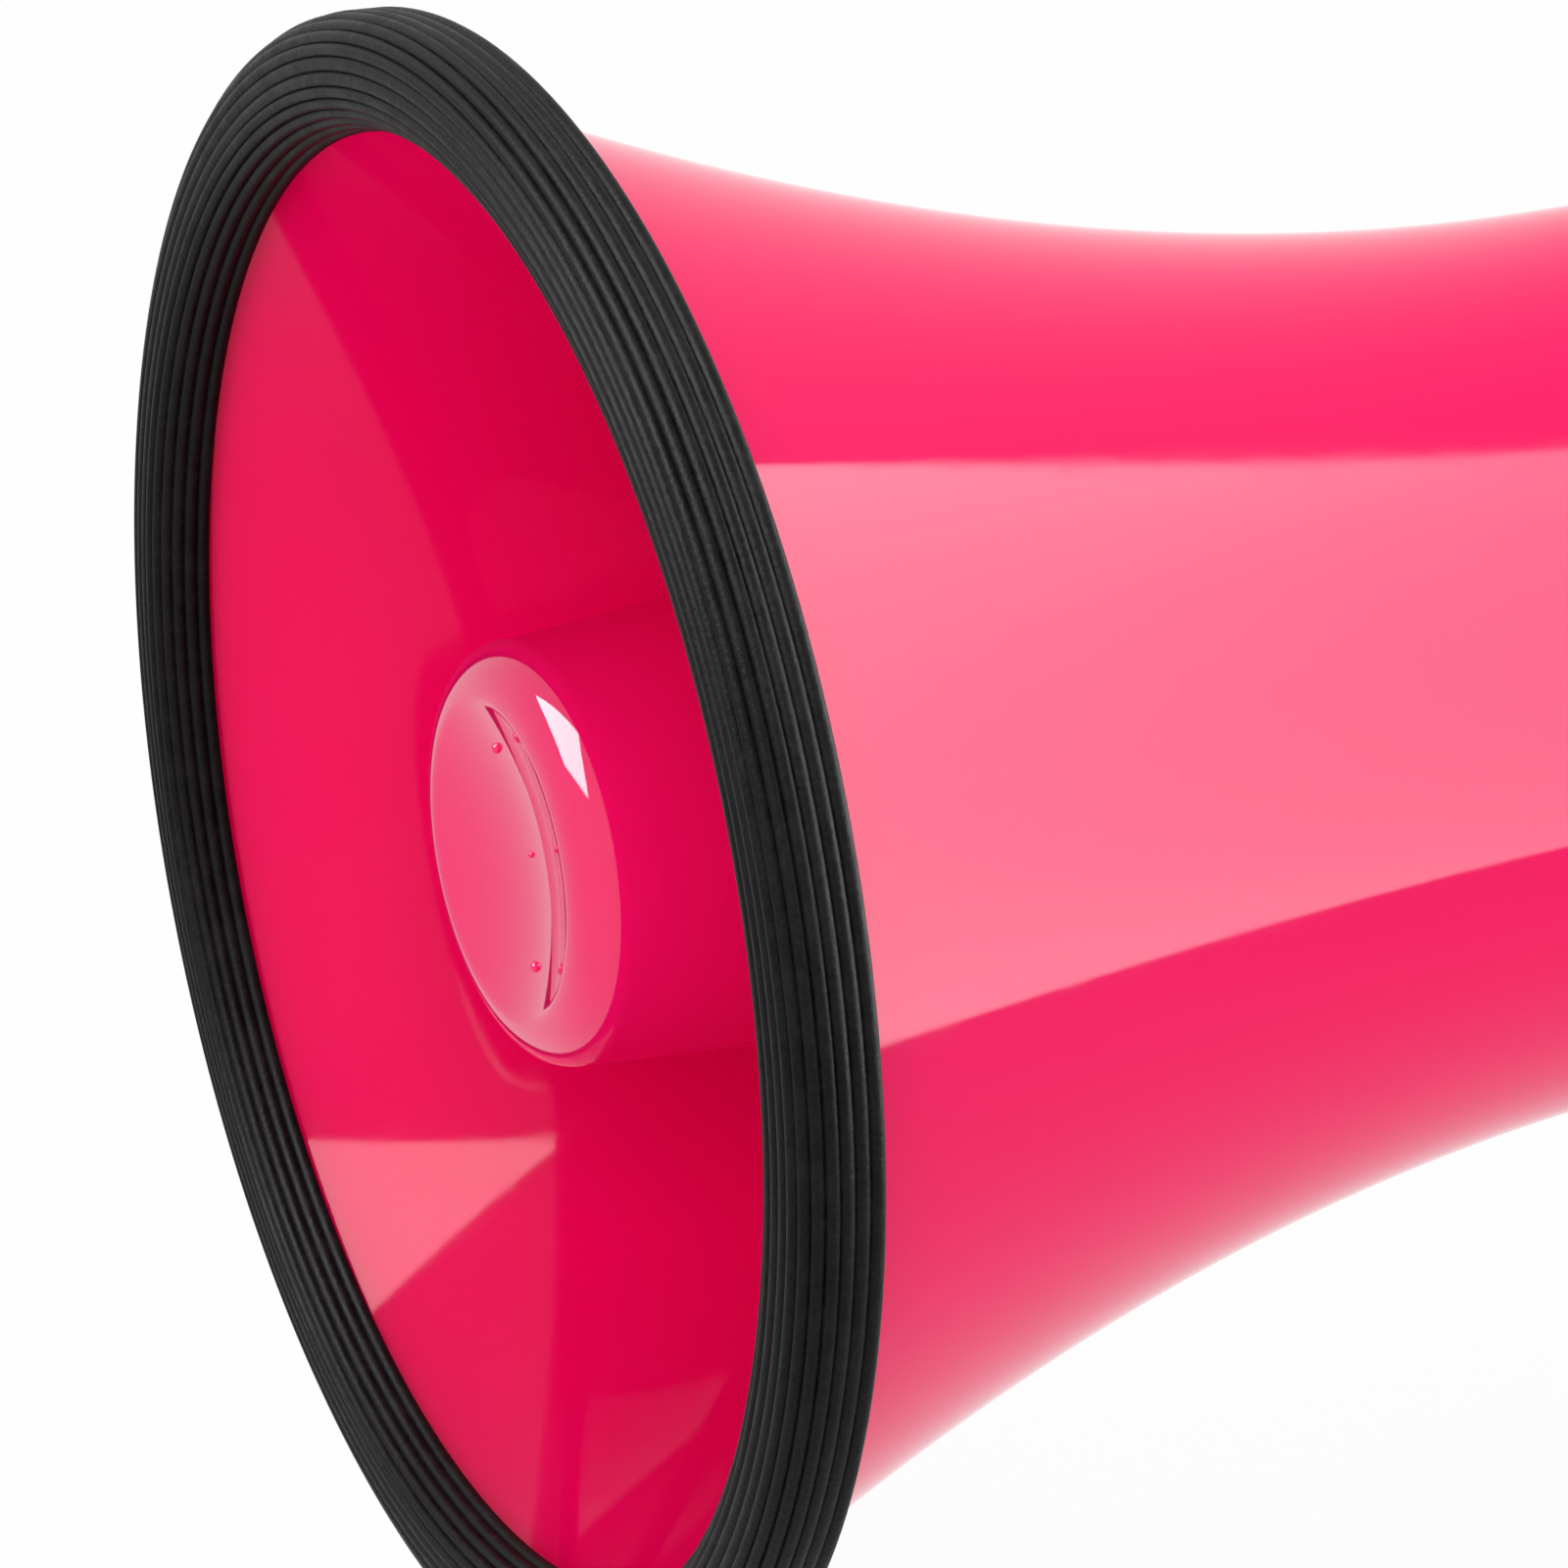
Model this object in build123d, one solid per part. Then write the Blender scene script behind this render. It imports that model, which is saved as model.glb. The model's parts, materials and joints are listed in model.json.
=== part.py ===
"""A handheld pistol-grip megaphone: flared bell with a folded horn, driver, batteries and controls.

Frame: millimetres, the horn's axis is X, the mouth faces -X and lies in the plane X = 0, +Z is up and
the grip hangs below. The origin is the centre of the rubber rim's front face.
"""
from build123d import *
import os
from math import radians, sqrt, tan

# ---- clearances -----------------------------------------------------------------------------------
RUNNING = 0.05          # radial clearance of a pin in a turning part
SLIDING = 0.3           # side clearance of a part that slides or turns past another
LOOSE = 0.4             # gap round a part that is dropped into its pocket
SCREW_PLAY = 0.05       # radial gap between a screw and its pilot hole

# ---- bell and rim ---------------------------------------------------------------------------------
RIM_D = 205.0           # outside diameter of the rubber rim
RIM_DEPTH = 9.4         # rim, front to back
RIM_BAND = 14.2         # rim, radial width seen from the front
RIM_EDGE = 5.0          # rounding of the rim's outer front edge
RIM_COVER = 5.6         # rubber outside the bell's lip
LIP_X = 3.0             # front end of the bell moulding, inside the rim
WAIST_X = 168.0         # narrowest place of the bell
WAIST_R = 60.5
SEAM_X = 216.0          # joint between the bell and the rear housing
SEAM_RISE = 1.9         # growth of the radius from the waist to the seam
BELL_WALL = 2.8
LEDGE_T = 3.0           # ring inside the bell that the throat horn is screwed to
LEDGE_DEPTH = 9.0

# ---- folded horn ----------------------------------------------------------------------------------
CUP_FRONT_X = 11.5      # front edge of the reflector cup, behind the mouth plane
CUP_FRONT_R = 26.0
CUP_LENGTH = 100.5
CUP_TAPER = 5.0         # degrees, the cup widens to the rear
CUP_WALL = 2.4
CUP_EDGE = 6.0          # rounding of the cup's front edge
CUP_DISH = 4.5          # depth of the hollow in the cup's face
PIP_R = 0.7
PIP_PITCH = 13.5
PIP_TURN = -22.0        # degrees, about the horn's axis
THROAT_R = 9.5          # throat bore at the driver
TUBE_FRONT_R = 12.0     # throat bore at the tube's front end
TUBE_WALL = 2.0
TUBE_FRONT_GAP = 30.0   # from the cup's face to the end of the tube
THROAT_END_X = 173.0    # back face of the throat horn
BOWL_DEPTH = 15.0
BOWL_WALL = 2.6
ARM_COUNT = 3
ARM_T = 4.0
ARM_W = 7.0
CUP_SCREW_PITCH = 27.0

# ---- driver ---------------------------------------------------------------------------------------
GASKET_T = 1.0
DRIVER_R = 42.0
DRIVER_FRONT_T = 3.0
DRIVER_WALL_T = 6.0
CAVITY_R = 36.0
COIL_R = 16.2
COIL_T = 0.7
COIL_LENGTH = 9.5
COIL_GAP = 0.8
TOP_PLATE_T = 5.0
MAGNET_T = 15.0
MAGNET_BORE = 22.0
BACK_PLATE_T = 5.0
DRIVER_SCREW_PITCH = 39.0

# ---- rear housing, batteries and amplifier --------------------------------------------------------
HOUSING_END_X = 312.0
HOUSING_END_R = 66.5
HOUSING_WALL = 2.8
SPIGOT = 10.0           # length of the housing's spigot inside the bell
BULKHEAD_X = 236.0
BULKHEAD_T = 2.4
BOARD_R = 50.0
BOARD_T = 1.6
POST_LENGTH = 10.0
CELL_R = 13.1           # C cell
CELL_LENGTH = 50.0
CELL_COUNT = 6
CELL_PITCH = 40.0       # radius of the ring of cells
TRAY_R = 58.0
TRAY_WALL = 1.6
TRAY_PLATE = 3.0            # end plates of the cell tray
TRAY_HUB_R = CELL_PITCH - CELL_R - LOOSE - 1.0
CONTACT_T = 1.5

# ---- rear cover and its controls ------------------------------------------------------------------
COVER_DEPTH = 18.0
COVER_WALL = 2.6
COVER_SPIGOT = 5.0
COVER_EDGE = 4.0
HINGE_DROP = 4.0        # hinge pin below the housing's skin
HINGE_PIN_R = 1.5
KNUCKLE_R = 3.5
KNUCKLE_HALF = 22.0     # half the width of the whole hinge
MIDDLE_KNUCKLE = 7.7    # half the width of the cover's knuckle
MIC_Z = 27.0
MIC_HOLE_R = 12.5
GRILLE_R = 15.5
GRILLE_T = 2.0
CONTROL_BOARD_X = 318.0
POT_PLACE = (-28.0, -12.0)
KNOB_R = 12.5
KNOB_T = 9.4
SHAFT_R = 3.0
MODE_PLACE = (28.0, -12.0)
MODE_TRAVEL = 4.0       # the slider moves this far each way
SIREN_PLACE = (0.0, -38.0)
BUTTON_R = 7.0
BUTTON_TRAVEL = 1.5
LAMP_PLACE = (0.0, -6.0)
LAMP_R = 2.5
JACK_PLACE = (32.0, 24.0)
JACK_BORE_R = 1.85

# ---- grip and trigger -----------------------------------------------------------------------------
GRIP_HALF_W = 16.5
GRIP_WALL = 2.6
GRIP_BASE_Z = -154.0
GRIP_FRONT_X = 227.0    # front edge at the top
GRIP_REAR_X = 285.0     # rear edge at the top
GRIP_RAKE = 14.0        # how far the base sits behind the top
GRIP_NECK = 8.0         # how far the rear edge is drawn in at the hand
GRIP_ROUND = 7.0
SADDLE_T = 3.0
PIVOT_X = 243.0
PIVOT_Z = -83.0
PIVOT_PIN_R = 1.6
TRIGGER_HALF_W = 6.5
TRIGGER_TRAVEL = 8.0    # degrees
SWITCH_DROP = 19.0      # talk switch plunger below the pivot
PLUNGER_R = 2.0
SWITCH_HALF_W = 5.0
SPRING_R = 2.8
SPRING_WIRE = 0.8
SPRING_BACK = 14.0      # spring behind the pivot
GRIP_SCREWS = ((268.0, -84.0), (264.0, -118.0), (262.0, -142.0))
EYE_BORE_R = 3.0
EYE_T = 5.0
LUG_X = 284.0
LUG_HALF_W = 3.0

# ---- fasteners ------------------------------------------------------------------------------------
SCREW_R = 1.45
HEAD_R = 2.8
HEAD_T = 2.0


# ---- helpers --------------------------------------------------------------------------------------
def section(points):
    """Edges of an open line through (x, radius) points."""
    return list(Polyline(*[(x, 0, r) for x, r in points]).edges())


def bezier(*points):
    return Bezier(*[(x, 0, r) for x, r in points])


def arc(*points):
    return ThreePointArc(*[(x, 0, r) for x, r in points])


def spin(edges):
    """A solid of revolution about the horn's axis."""
    return revolve(make_face(edges), Axis.X)


def lathe(*points):
    """A turned solid whose closed outline is (x, radius) corners."""
    return spin(section(list(points) + [points[0]]))


def ring(x0, x1, r_out, r_in):
    return lathe((x0, r_in), (x0, r_out), (x1, r_out), (x1, r_in))


def rod_x(x0, x1, r, y=0.0, z=0.0):
    return Pos((x0 + x1) / 2, y, z) * Rot(0, 90, 0) * Cylinder(r, x1 - x0)


def rod_y(y0, y1, r, x, z):
    return Pos(x, (y0 + y1) / 2, z) * Rot(90, 0, 0) * Cylinder(r, y1 - y0)


def rod_z(z0, z1, r, x, y):
    return Pos(x, y, (z0 + z1) / 2) * Cylinder(r, z1 - z0)


def block(x0, x1, y0, y1, z0, z1):
    return Pos((x0 + x1) / 2, (y0 + y1) / 2, (z0 + z1) / 2) * Box(x1 - x0, y1 - y0, z1 - z0)


def around(solid, count, first=0.0):
    """Copies of a solid, evenly turned about the horn's axis."""
    return [Rot(first + 360.0 * i / count, 0, 0) * solid for i in range(count)]


def fuse(first, *others):
    for other in others:
        first = first + other
    return first


def cut(first, *others):
    for other in others:
        first = first - other
    return first


def save(name, *shapes):
    solids = [s for shape in shapes for s in shape.solids()]
    export_step(Compound(solids) if len(solids) > 1 else solids[0], f"parts/{name}.step")


# ---- shared shapes --------------------------------------------------------------------------------
RIM_R = RIM_D / 2
MOUTH_R = RIM_R - RIM_COVER
SEAM_R = WAIST_R + SEAM_RISE
SEAM_SLOPE = 2 * SEAM_RISE / (SEAM_X - WAIST_X)
COVER_X = HOUSING_END_X
COVER_BACK_X = COVER_X + COVER_DEPTH
PLATE_X = COVER_BACK_X - COVER_WALL         # inner face of the cover's back plate
HINGE_X = HOUSING_END_X + 2.0
HINGE_Z = -(HOUSING_END_R + HINGE_DROP)


def bell_edge(inset):
    """The bell's profile: two parabolas that meet at the waist, moved in by inset."""
    return [
        bezier((LIP_X, MOUTH_R - inset), ((LIP_X + WAIST_X) / 2, WAIST_R - inset),
               (WAIST_X, WAIST_R - inset)),
        bezier((WAIST_X, WAIST_R - inset), ((WAIST_X + SEAM_X) / 2, WAIST_R - inset),
               (SEAM_X, SEAM_R - inset)),
    ]


def bell_radius(x):
    """Outside radius of the bell at x."""
    if x < WAIST_X:
        return WAIST_R + (MOUTH_R - WAIST_R) * ((WAIST_X - x) / (WAIST_X - LIP_X)) ** 2
    return WAIST_R + SEAM_RISE * ((x - WAIST_X) / (SEAM_X - WAIST_X)) ** 2


HOUSING_KNEE_X = SEAM_X + (HOUSING_END_X - SEAM_X) * 0.48


def housing_edge(inset):
    """The rear housing's profile: it carries on the bell's line and flattens to the rear."""
    knee_r = SEAM_R + SEAM_SLOPE * (HOUSING_KNEE_X - SEAM_X)
    return bezier((SEAM_X, SEAM_R - inset), (HOUSING_KNEE_X, knee_r - inset),
                  (HOUSING_END_X, HOUSING_END_R - inset))


def housing_body(inset):
    """The full round body of the rear housing, moved in by inset."""
    return spin([housing_edge(inset)] + section([
        (HOUSING_END_X, HOUSING_END_R - inset), (HOUSING_END_X, 0), (SEAM_X, 0),
        (SEAM_X, SEAM_R - inset)]))


# ---- horn -----------------------------------------------------------------------------------------
def horn_screw_place():
    """Pitch radius of the screws that hold the throat horn to the bell's ledge."""
    return WAIST_R - BELL_WALL - LEDGE_DEPTH / 2 - 1.2


LEDGE_X = THROAT_END_X


def bell_solid():
    """The bell's moulding before its holes are drilled."""
    wall = spin(bell_edge(0) + section([(SEAM_X, SEAM_R), (SEAM_X, SEAM_R - BELL_WALL)])
                + bell_edge(BELL_WALL) + section([(LIP_X, MOUTH_R - BELL_WALL), (LIP_X, MOUTH_R)]))
    ledge_in = WAIST_R - BELL_WALL - LEDGE_DEPTH
    return wall + ring(LEDGE_X, LEDGE_X + LEDGE_T, WAIST_R - BELL_WALL / 2, ledge_in)


HOUSING_SCREW_X = SEAM_X - SPIGOT / 2
HOUSING_SCREW_ANGLES = (50.0, 180.0, 310.0)     # from straight up, about the horn's axis
SPIGOT_R = bell_radius(SEAM_X - SPIGOT) - BELL_WALL - 0.15
SPIGOT_WALL = 3.4


def housing_screw_tools(radius, low, high):
    return [Rot(a, 0, 0) * rod_z(low, high, radius, HOUSING_SCREW_X, 0) for a in HOUSING_SCREW_ANGLES]


def make_horn():
    seat_r = bell_radius(HOUSING_SCREW_X)
    bell = bell_solid()
    pitch = horn_screw_place()
    for hole in around(rod_x(LEDGE_X - 1, LEDGE_X + LEDGE_T + 1, SCREW_R + 0.25, 0, pitch), 4, 45):
        bell = bell - hole
    bell = cut(bell, *housing_screw_tools(SCREW_R + 0.25, seat_r - 8, seat_r + 8))
    bell = cut(bell, *housing_screw_tools(HEAD_R + 0.2, seat_r - HEAD_T, seat_r + 8))
    save("bell_shell", bell)

    # The rubber rim is a U section over the bell's lip, open to the rear where the bell passes.
    inner_r = RIM_R - RIM_BAND
    inner_x = RIM_DEPTH - 1.9
    rubber = spin([
        *section([(RIM_DEPTH, inner_r + 3), (RIM_DEPTH, RIM_R), (RIM_EDGE, RIM_R)]),
        arc((RIM_EDGE, RIM_R), (RIM_EDGE * (1 - sqrt(0.5)), RIM_R - RIM_EDGE * (1 - sqrt(0.5))),
            (0, RIM_R - RIM_EDGE)),
        *section([(0, RIM_R - RIM_EDGE), (0, RIM_R - 8.2)]),
        arc((0, RIM_R - 8.2), (2.2, RIM_R - 12.3), (inner_x, inner_r)),
        *section([(inner_x, inner_r), (inner_x, inner_r + 3), (RIM_DEPTH, inner_r + 3)]),
    ])
    flare = spin(bell_edge(0) + section([(SEAM_X, SEAM_R), (SEAM_X, 0), (WAIST_X, 0)])
                 + section([(WAIST_X, 0), (inner_x, 0), (inner_x, bell_radius(LIP_X) - BELL_WALL)])
                 + section([(inner_x, bell_radius(LIP_X) - BELL_WALL),
                            (LIP_X, bell_radius(LIP_X) - BELL_WALL), (LIP_X, MOUTH_R)]))
    save("rim_bumper", rubber - bell_solid() - flare)

    make_cup()
    make_throat_horn()
    save("throat_screws", *around(screw_x(LEDGE_X + LEDGE_T, -1, LEDGE_T + 6.0, 0, pitch), 4, 45))
    save("housing_screws", *[
        Rot(a, 0, 0) * (rod_z(seat_r - HEAD_T, seat_r - 0.3, HEAD_R, HOUSING_SCREW_X, 0)
                        + rod_z(seat_r - HEAD_T - 3.6, seat_r - HEAD_T, SCREW_R, HOUSING_SCREW_X, 0))
        for a in HOUSING_SCREW_ANGLES])


def screw_x(head_x, way, length, y, z, head_r=HEAD_R):
    """A screw along X: its head's bearing face at head_x, its shank going way (1 or -1)."""
    shank = sorted((head_x, head_x + way * length))
    head = sorted((head_x, head_x - way * HEAD_T))
    slot = sorted((head_x - way * HEAD_T, head_x - way * HEAD_T / 2))
    solid = rod_x(*shank, SCREW_R, y, z) + rod_x(*head, head_r, y, z)
    for turn in (0, 90):
        bar = Pos(0, y, z) * Rot(turn, 0, 0) * block(slot[0], slot[1], -1.6, 1.6, -0.35, 0.35)
        solid = solid - bar
    return solid


CUP_BACK_X = CUP_FRONT_X + CUP_LENGTH
CUP_SLOPE = tan(radians(CUP_TAPER))
ARM_X = CUP_BACK_X - 12.0                   # front face of the arms' pads


def cup_radius(x):
    return CUP_FRONT_R + CUP_SLOPE * (x - CUP_FRONT_X)


def make_cup():
    """The reflector cup: dished face, rounded edge, tapered wall, open to the rear."""
    face_x = CUP_FRONT_X
    edge_r = CUP_FRONT_R - CUP_EDGE
    side_x = face_x + CUP_EDGE
    diag = CUP_EDGE * (1 - sqrt(0.5))
    inner_x = face_x + CUP_DISH + CUP_WALL
    inner_r = cup_radius(inner_x) - CUP_WALL
    cup = spin([
        arc((face_x, edge_r), (face_x + diag, edge_r + CUP_EDGE - diag), (side_x, CUP_FRONT_R + 0.4)),
        *section([(side_x, CUP_FRONT_R + 0.4), (CUP_BACK_X, cup_radius(CUP_BACK_X)),
                  (CUP_BACK_X, cup_radius(CUP_BACK_X) - CUP_WALL), (inner_x, inner_r),
                  (inner_x, 0), (face_x + CUP_DISH, 0)]),
        arc((face_x + CUP_DISH, 0), (face_x + CUP_DISH * 0.75, edge_r * 0.5), (face_x, edge_r)),
    ])
    boss_x = ARM_X - 12.0
    boss = rod_x(boss_x, ARM_X, 3.6, 0, CUP_SCREW_PITCH)
    core = spin(section([(face_x + CUP_EDGE, 0), (face_x + CUP_EDGE, CUP_FRONT_R),
                         (CUP_BACK_X, cup_radius(CUP_BACK_X) - CUP_WALL / 2), (CUP_BACK_X, 0),
                         (face_x + CUP_EDGE, 0)]))
    pilot = rod_x(ARM_X - 10.0, ARM_X + 1, SCREW_R + SCREW_PLAY, 0, CUP_SCREW_PITCH)
    web = block(boss_x, ARM_X, -1.2, 1.2, CUP_SCREW_PITCH, cup_radius(boss_x) - CUP_WALL / 2)
    for one in around((boss + web) & core, ARM_COUNT, 60):
        cup = cup + one
    for hole in around(pilot, ARM_COUNT, 60):
        cup = cup - hole
    for side in (-1, 1):
        pip_x = face_x + CUP_DISH * (1 - (PIP_PITCH / edge_r) ** 2)
        pip = Rot(PIP_TURN, 0, 0) * Pos(pip_x, 0, side * PIP_PITCH) * Sphere(PIP_R)
        cup = cup + pip
    save("reflector_cup", cup)
    save("cup_screws", *around(screw_x(ARM_X + ARM_T, -1, ARM_T + 8.0, 0, CUP_SCREW_PITCH),
                               ARM_COUNT, 60))


def throat_bore(x):
    share = (THROAT_END_X - x) / (THROAT_END_X - TUBE_FRONT_X)
    return THROAT_R + (TUBE_FRONT_R - THROAT_R) * share


TUBE_FRONT_X = CUP_FRONT_X + TUBE_FRONT_GAP


def make_throat_horn():
    """Throat tube, curved bowl that turns the sound forward, and the arms that carry the cup."""
    end = THROAT_END_X
    rim_r = WAIST_R - BELL_WALL - LOOSE
    rim_x = end - BOWL_DEPTH - 2.0
    root_x = end - BOWL_DEPTH - 4.0
    low_r = rim_r * 0.6
    tube = lathe((TUBE_FRONT_X, TUBE_FRONT_R), (TUBE_FRONT_X, TUBE_FRONT_R + TUBE_WALL),
                 (end, THROAT_R + TUBE_WALL), (end, THROAT_R))
    root_r = throat_bore(root_x) + TUBE_WALL - 0.5
    bowl = spin([
        arc((root_x, root_r), (end - BOWL_WALL - 1.6, low_r), (rim_x, rim_r)),
        *section([(rim_x, rim_r), (rim_x + BOWL_WALL, rim_r)]),
        arc((rim_x + BOWL_WALL, rim_r), (end - 1.6, low_r), (root_x + BOWL_WALL, root_r)),
        *section([(root_x + BOWL_WALL, root_r), (root_x, root_r)]),
    ])
    wall = ring(rim_x, end, rim_r, rim_r - BOWL_WALL)
    seat = ring(end - 3.2, end, DRIVER_R + 0.6, THROAT_R + TUBE_WALL / 2)
    pitch = horn_screw_place()
    horn = fuse(tube, bowl, wall, seat)
    behind = spin([
        arc((root_x + 1, root_r), (end - BOWL_WALL - 0.6, low_r), (rim_x + 1, rim_r)),
        *section([(rim_x + 1, rim_r), (end, rim_r), (end, root_r), (root_x + 1, root_r)]),
    ])
    for boss in around(rod_x(end - 10, end, 3.8, 0, pitch) & behind, 4, 45):
        horn = horn + boss
    for hole in around(rod_x(end - 6.5, end + 1, SCREW_R + SCREW_PLAY, 0, pitch), 4, 45):
        horn = horn - hole
    for hole in around(rod_x(end - 3.8, end + 1, SCREW_R + SCREW_PLAY, 0, DRIVER_SCREW_PITCH), 4):
        horn = horn - hole
    arm_root = throat_bore(ARM_X) + TUBE_WALL / 2
    pad = rod_x(ARM_X, ARM_X + ARM_T, 4.0, 0, CUP_SCREW_PITCH)
    arm = block(ARM_X, ARM_X + ARM_T, -ARM_W / 2, ARM_W / 2, arm_root, CUP_SCREW_PITCH) + pad
    hole = rod_x(ARM_X - 1, ARM_X + ARM_T + 1, SCREW_R + 0.25, 0, CUP_SCREW_PITCH)
    inside = spin(section([
        (ARM_X, arm_root), (ARM_X, cup_radius(ARM_X) - CUP_WALL - LOOSE),
        (ARM_X + ARM_T, cup_radius(ARM_X) - CUP_WALL - LOOSE), (ARM_X + ARM_T, arm_root),
        (ARM_X, arm_root)]))
    for one in around((arm & inside) - hole, ARM_COUNT, 60):
        horn = horn + one
    save("throat_horn", horn)


# ---- driver ---------------------------------------------------------------------------------------
DRIVER_X = THROAT_END_X + GASKET_T
CAVITY_X = DRIVER_X + DRIVER_FRONT_T
TOP_PLATE_X = CAVITY_X + DRIVER_WALL_T
MAGNET_X = TOP_PLATE_X + TOP_PLATE_T
BACK_PLATE_X = MAGNET_X + MAGNET_T
DRIVER_END_X = BACK_PLATE_X + BACK_PLATE_T
MAGNET_R = DRIVER_R - 2.0
TERMINAL_Z = DRIVER_R + 2.2
TERMINAL_Y = 6.0
LEAD_R = 0.9


def make_driver():
    pole_r = COIL_R - COIL_GAP
    plate_bore = COIL_R + COIL_T + COIL_GAP
    screw_holes = around(rod_x(DRIVER_X - 1, TOP_PLATE_X + 1, SCREW_R + 0.25, 0, DRIVER_SCREW_PITCH), 4)
    save("driver_gasket", ring(THROAT_END_X, DRIVER_X, 22.0, THROAT_R + 1.5))
    front = fuse(ring(DRIVER_X, CAVITY_X, DRIVER_R, THROAT_R),
                 ring(CAVITY_X, TOP_PLATE_X, DRIVER_R, CAVITY_R))
    tab = block(DRIVER_X, CAVITY_X, -10, 10, DRIVER_R - 2, TERMINAL_Z + 2.5)
    save("driver_front", cut(front + tab, *screw_holes))
    spokes = block(CAVITY_X - 1.4, CAVITY_X, -THROAT_R, THROAT_R, -0.8, 0.8)
    save("phase_plug", lathe((DRIVER_X - 6, 0), (DRIVER_X - 3, 3.2), (CAVITY_X, 6.6), (CAVITY_X, 0))
         + (spokes & rod_x(DRIVER_X, CAVITY_X, THROAT_R)))
    skin = 0.5
    dome_x = TOP_PLATE_X - 2.6
    crown_x = CAVITY_X + 0.9
    save("diaphragm", lathe(
        (crown_x, 0), (crown_x + 1.0, COIL_R * 0.65), (dome_x, COIL_R + COIL_T),
        (TOP_PLATE_X - 2.2, CAVITY_R * 0.72), (TOP_PLATE_X - skin, CAVITY_R - 4),
        (TOP_PLATE_X - skin, CAVITY_R - 0.2), (TOP_PLATE_X, CAVITY_R - 0.2),
        (TOP_PLATE_X, CAVITY_R - 4), (TOP_PLATE_X - 2.2 + skin, CAVITY_R * 0.72),
        (dome_x + skin, COIL_R + COIL_T), (crown_x + 1.0 + skin, COIL_R * 0.65), (crown_x + skin, 0)))
    coil_x = dome_x + skin
    save("voice_coil", ring(coil_x, coil_x + COIL_LENGTH, COIL_R + COIL_T, COIL_R))
    save("top_plate", ring(TOP_PLATE_X, MAGNET_X, DRIVER_R - 1, plate_bore))
    save("magnet_ring", ring(MAGNET_X, BACK_PLATE_X, MAGNET_R, MAGNET_BORE))
    vent = rod_x(MAGNET_X - 10, DRIVER_END_X + 1, 2.5)
    yoke = lathe((TOP_PLATE_X + 0.5, 0), (TOP_PLATE_X + 0.5, pole_r), (BACK_PLATE_X, pole_r),
                 (BACK_PLATE_X, DRIVER_R - 3), (DRIVER_END_X, DRIVER_R - 4), (DRIVER_END_X, 0))
    save("pole_yoke", yoke - vent)
    save("driver_screws", *around(
        rod_x(THROAT_END_X - 3.4, CAVITY_X, SCREW_R, 0, DRIVER_SCREW_PITCH)
        + rod_x(CAVITY_X, TOP_PLATE_X - 0.5, SCREW_R + 0.15, 0, DRIVER_SCREW_PITCH), 4))
    terminals, leads = [], []
    for side in (-1, 1):
        y = side * TERMINAL_Y
        terminals.append(block(CAVITY_X, CAVITY_X + 8, y - 2, y + 2, TERMINAL_Z - 0.4, TERMINAL_Z + 0.4))
        leads.append(rod_x(CAVITY_X + 1, AMP_X, LEAD_R, y, TERMINAL_Z + 0.4 + LEAD_R))
    save("driver_terminals", *terminals)
    save("driver_leads", *leads)


# ---- rear housing, amplifier and batteries --------------------------------------------------------
AMP_X = BULKHEAD_X - POST_LENGTH - BOARD_T      # front face of the amplifier board
TRAY_X = BULKHEAD_X + BULKHEAD_T + CONTACT_T
TRAY_END_X = TRAY_X + CELL_LENGTH + 0.5
HOUSING_IN_R = HOUSING_END_R - HOUSING_WALL
AMP_POST_PITCH = BOARD_R - 6.0


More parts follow.
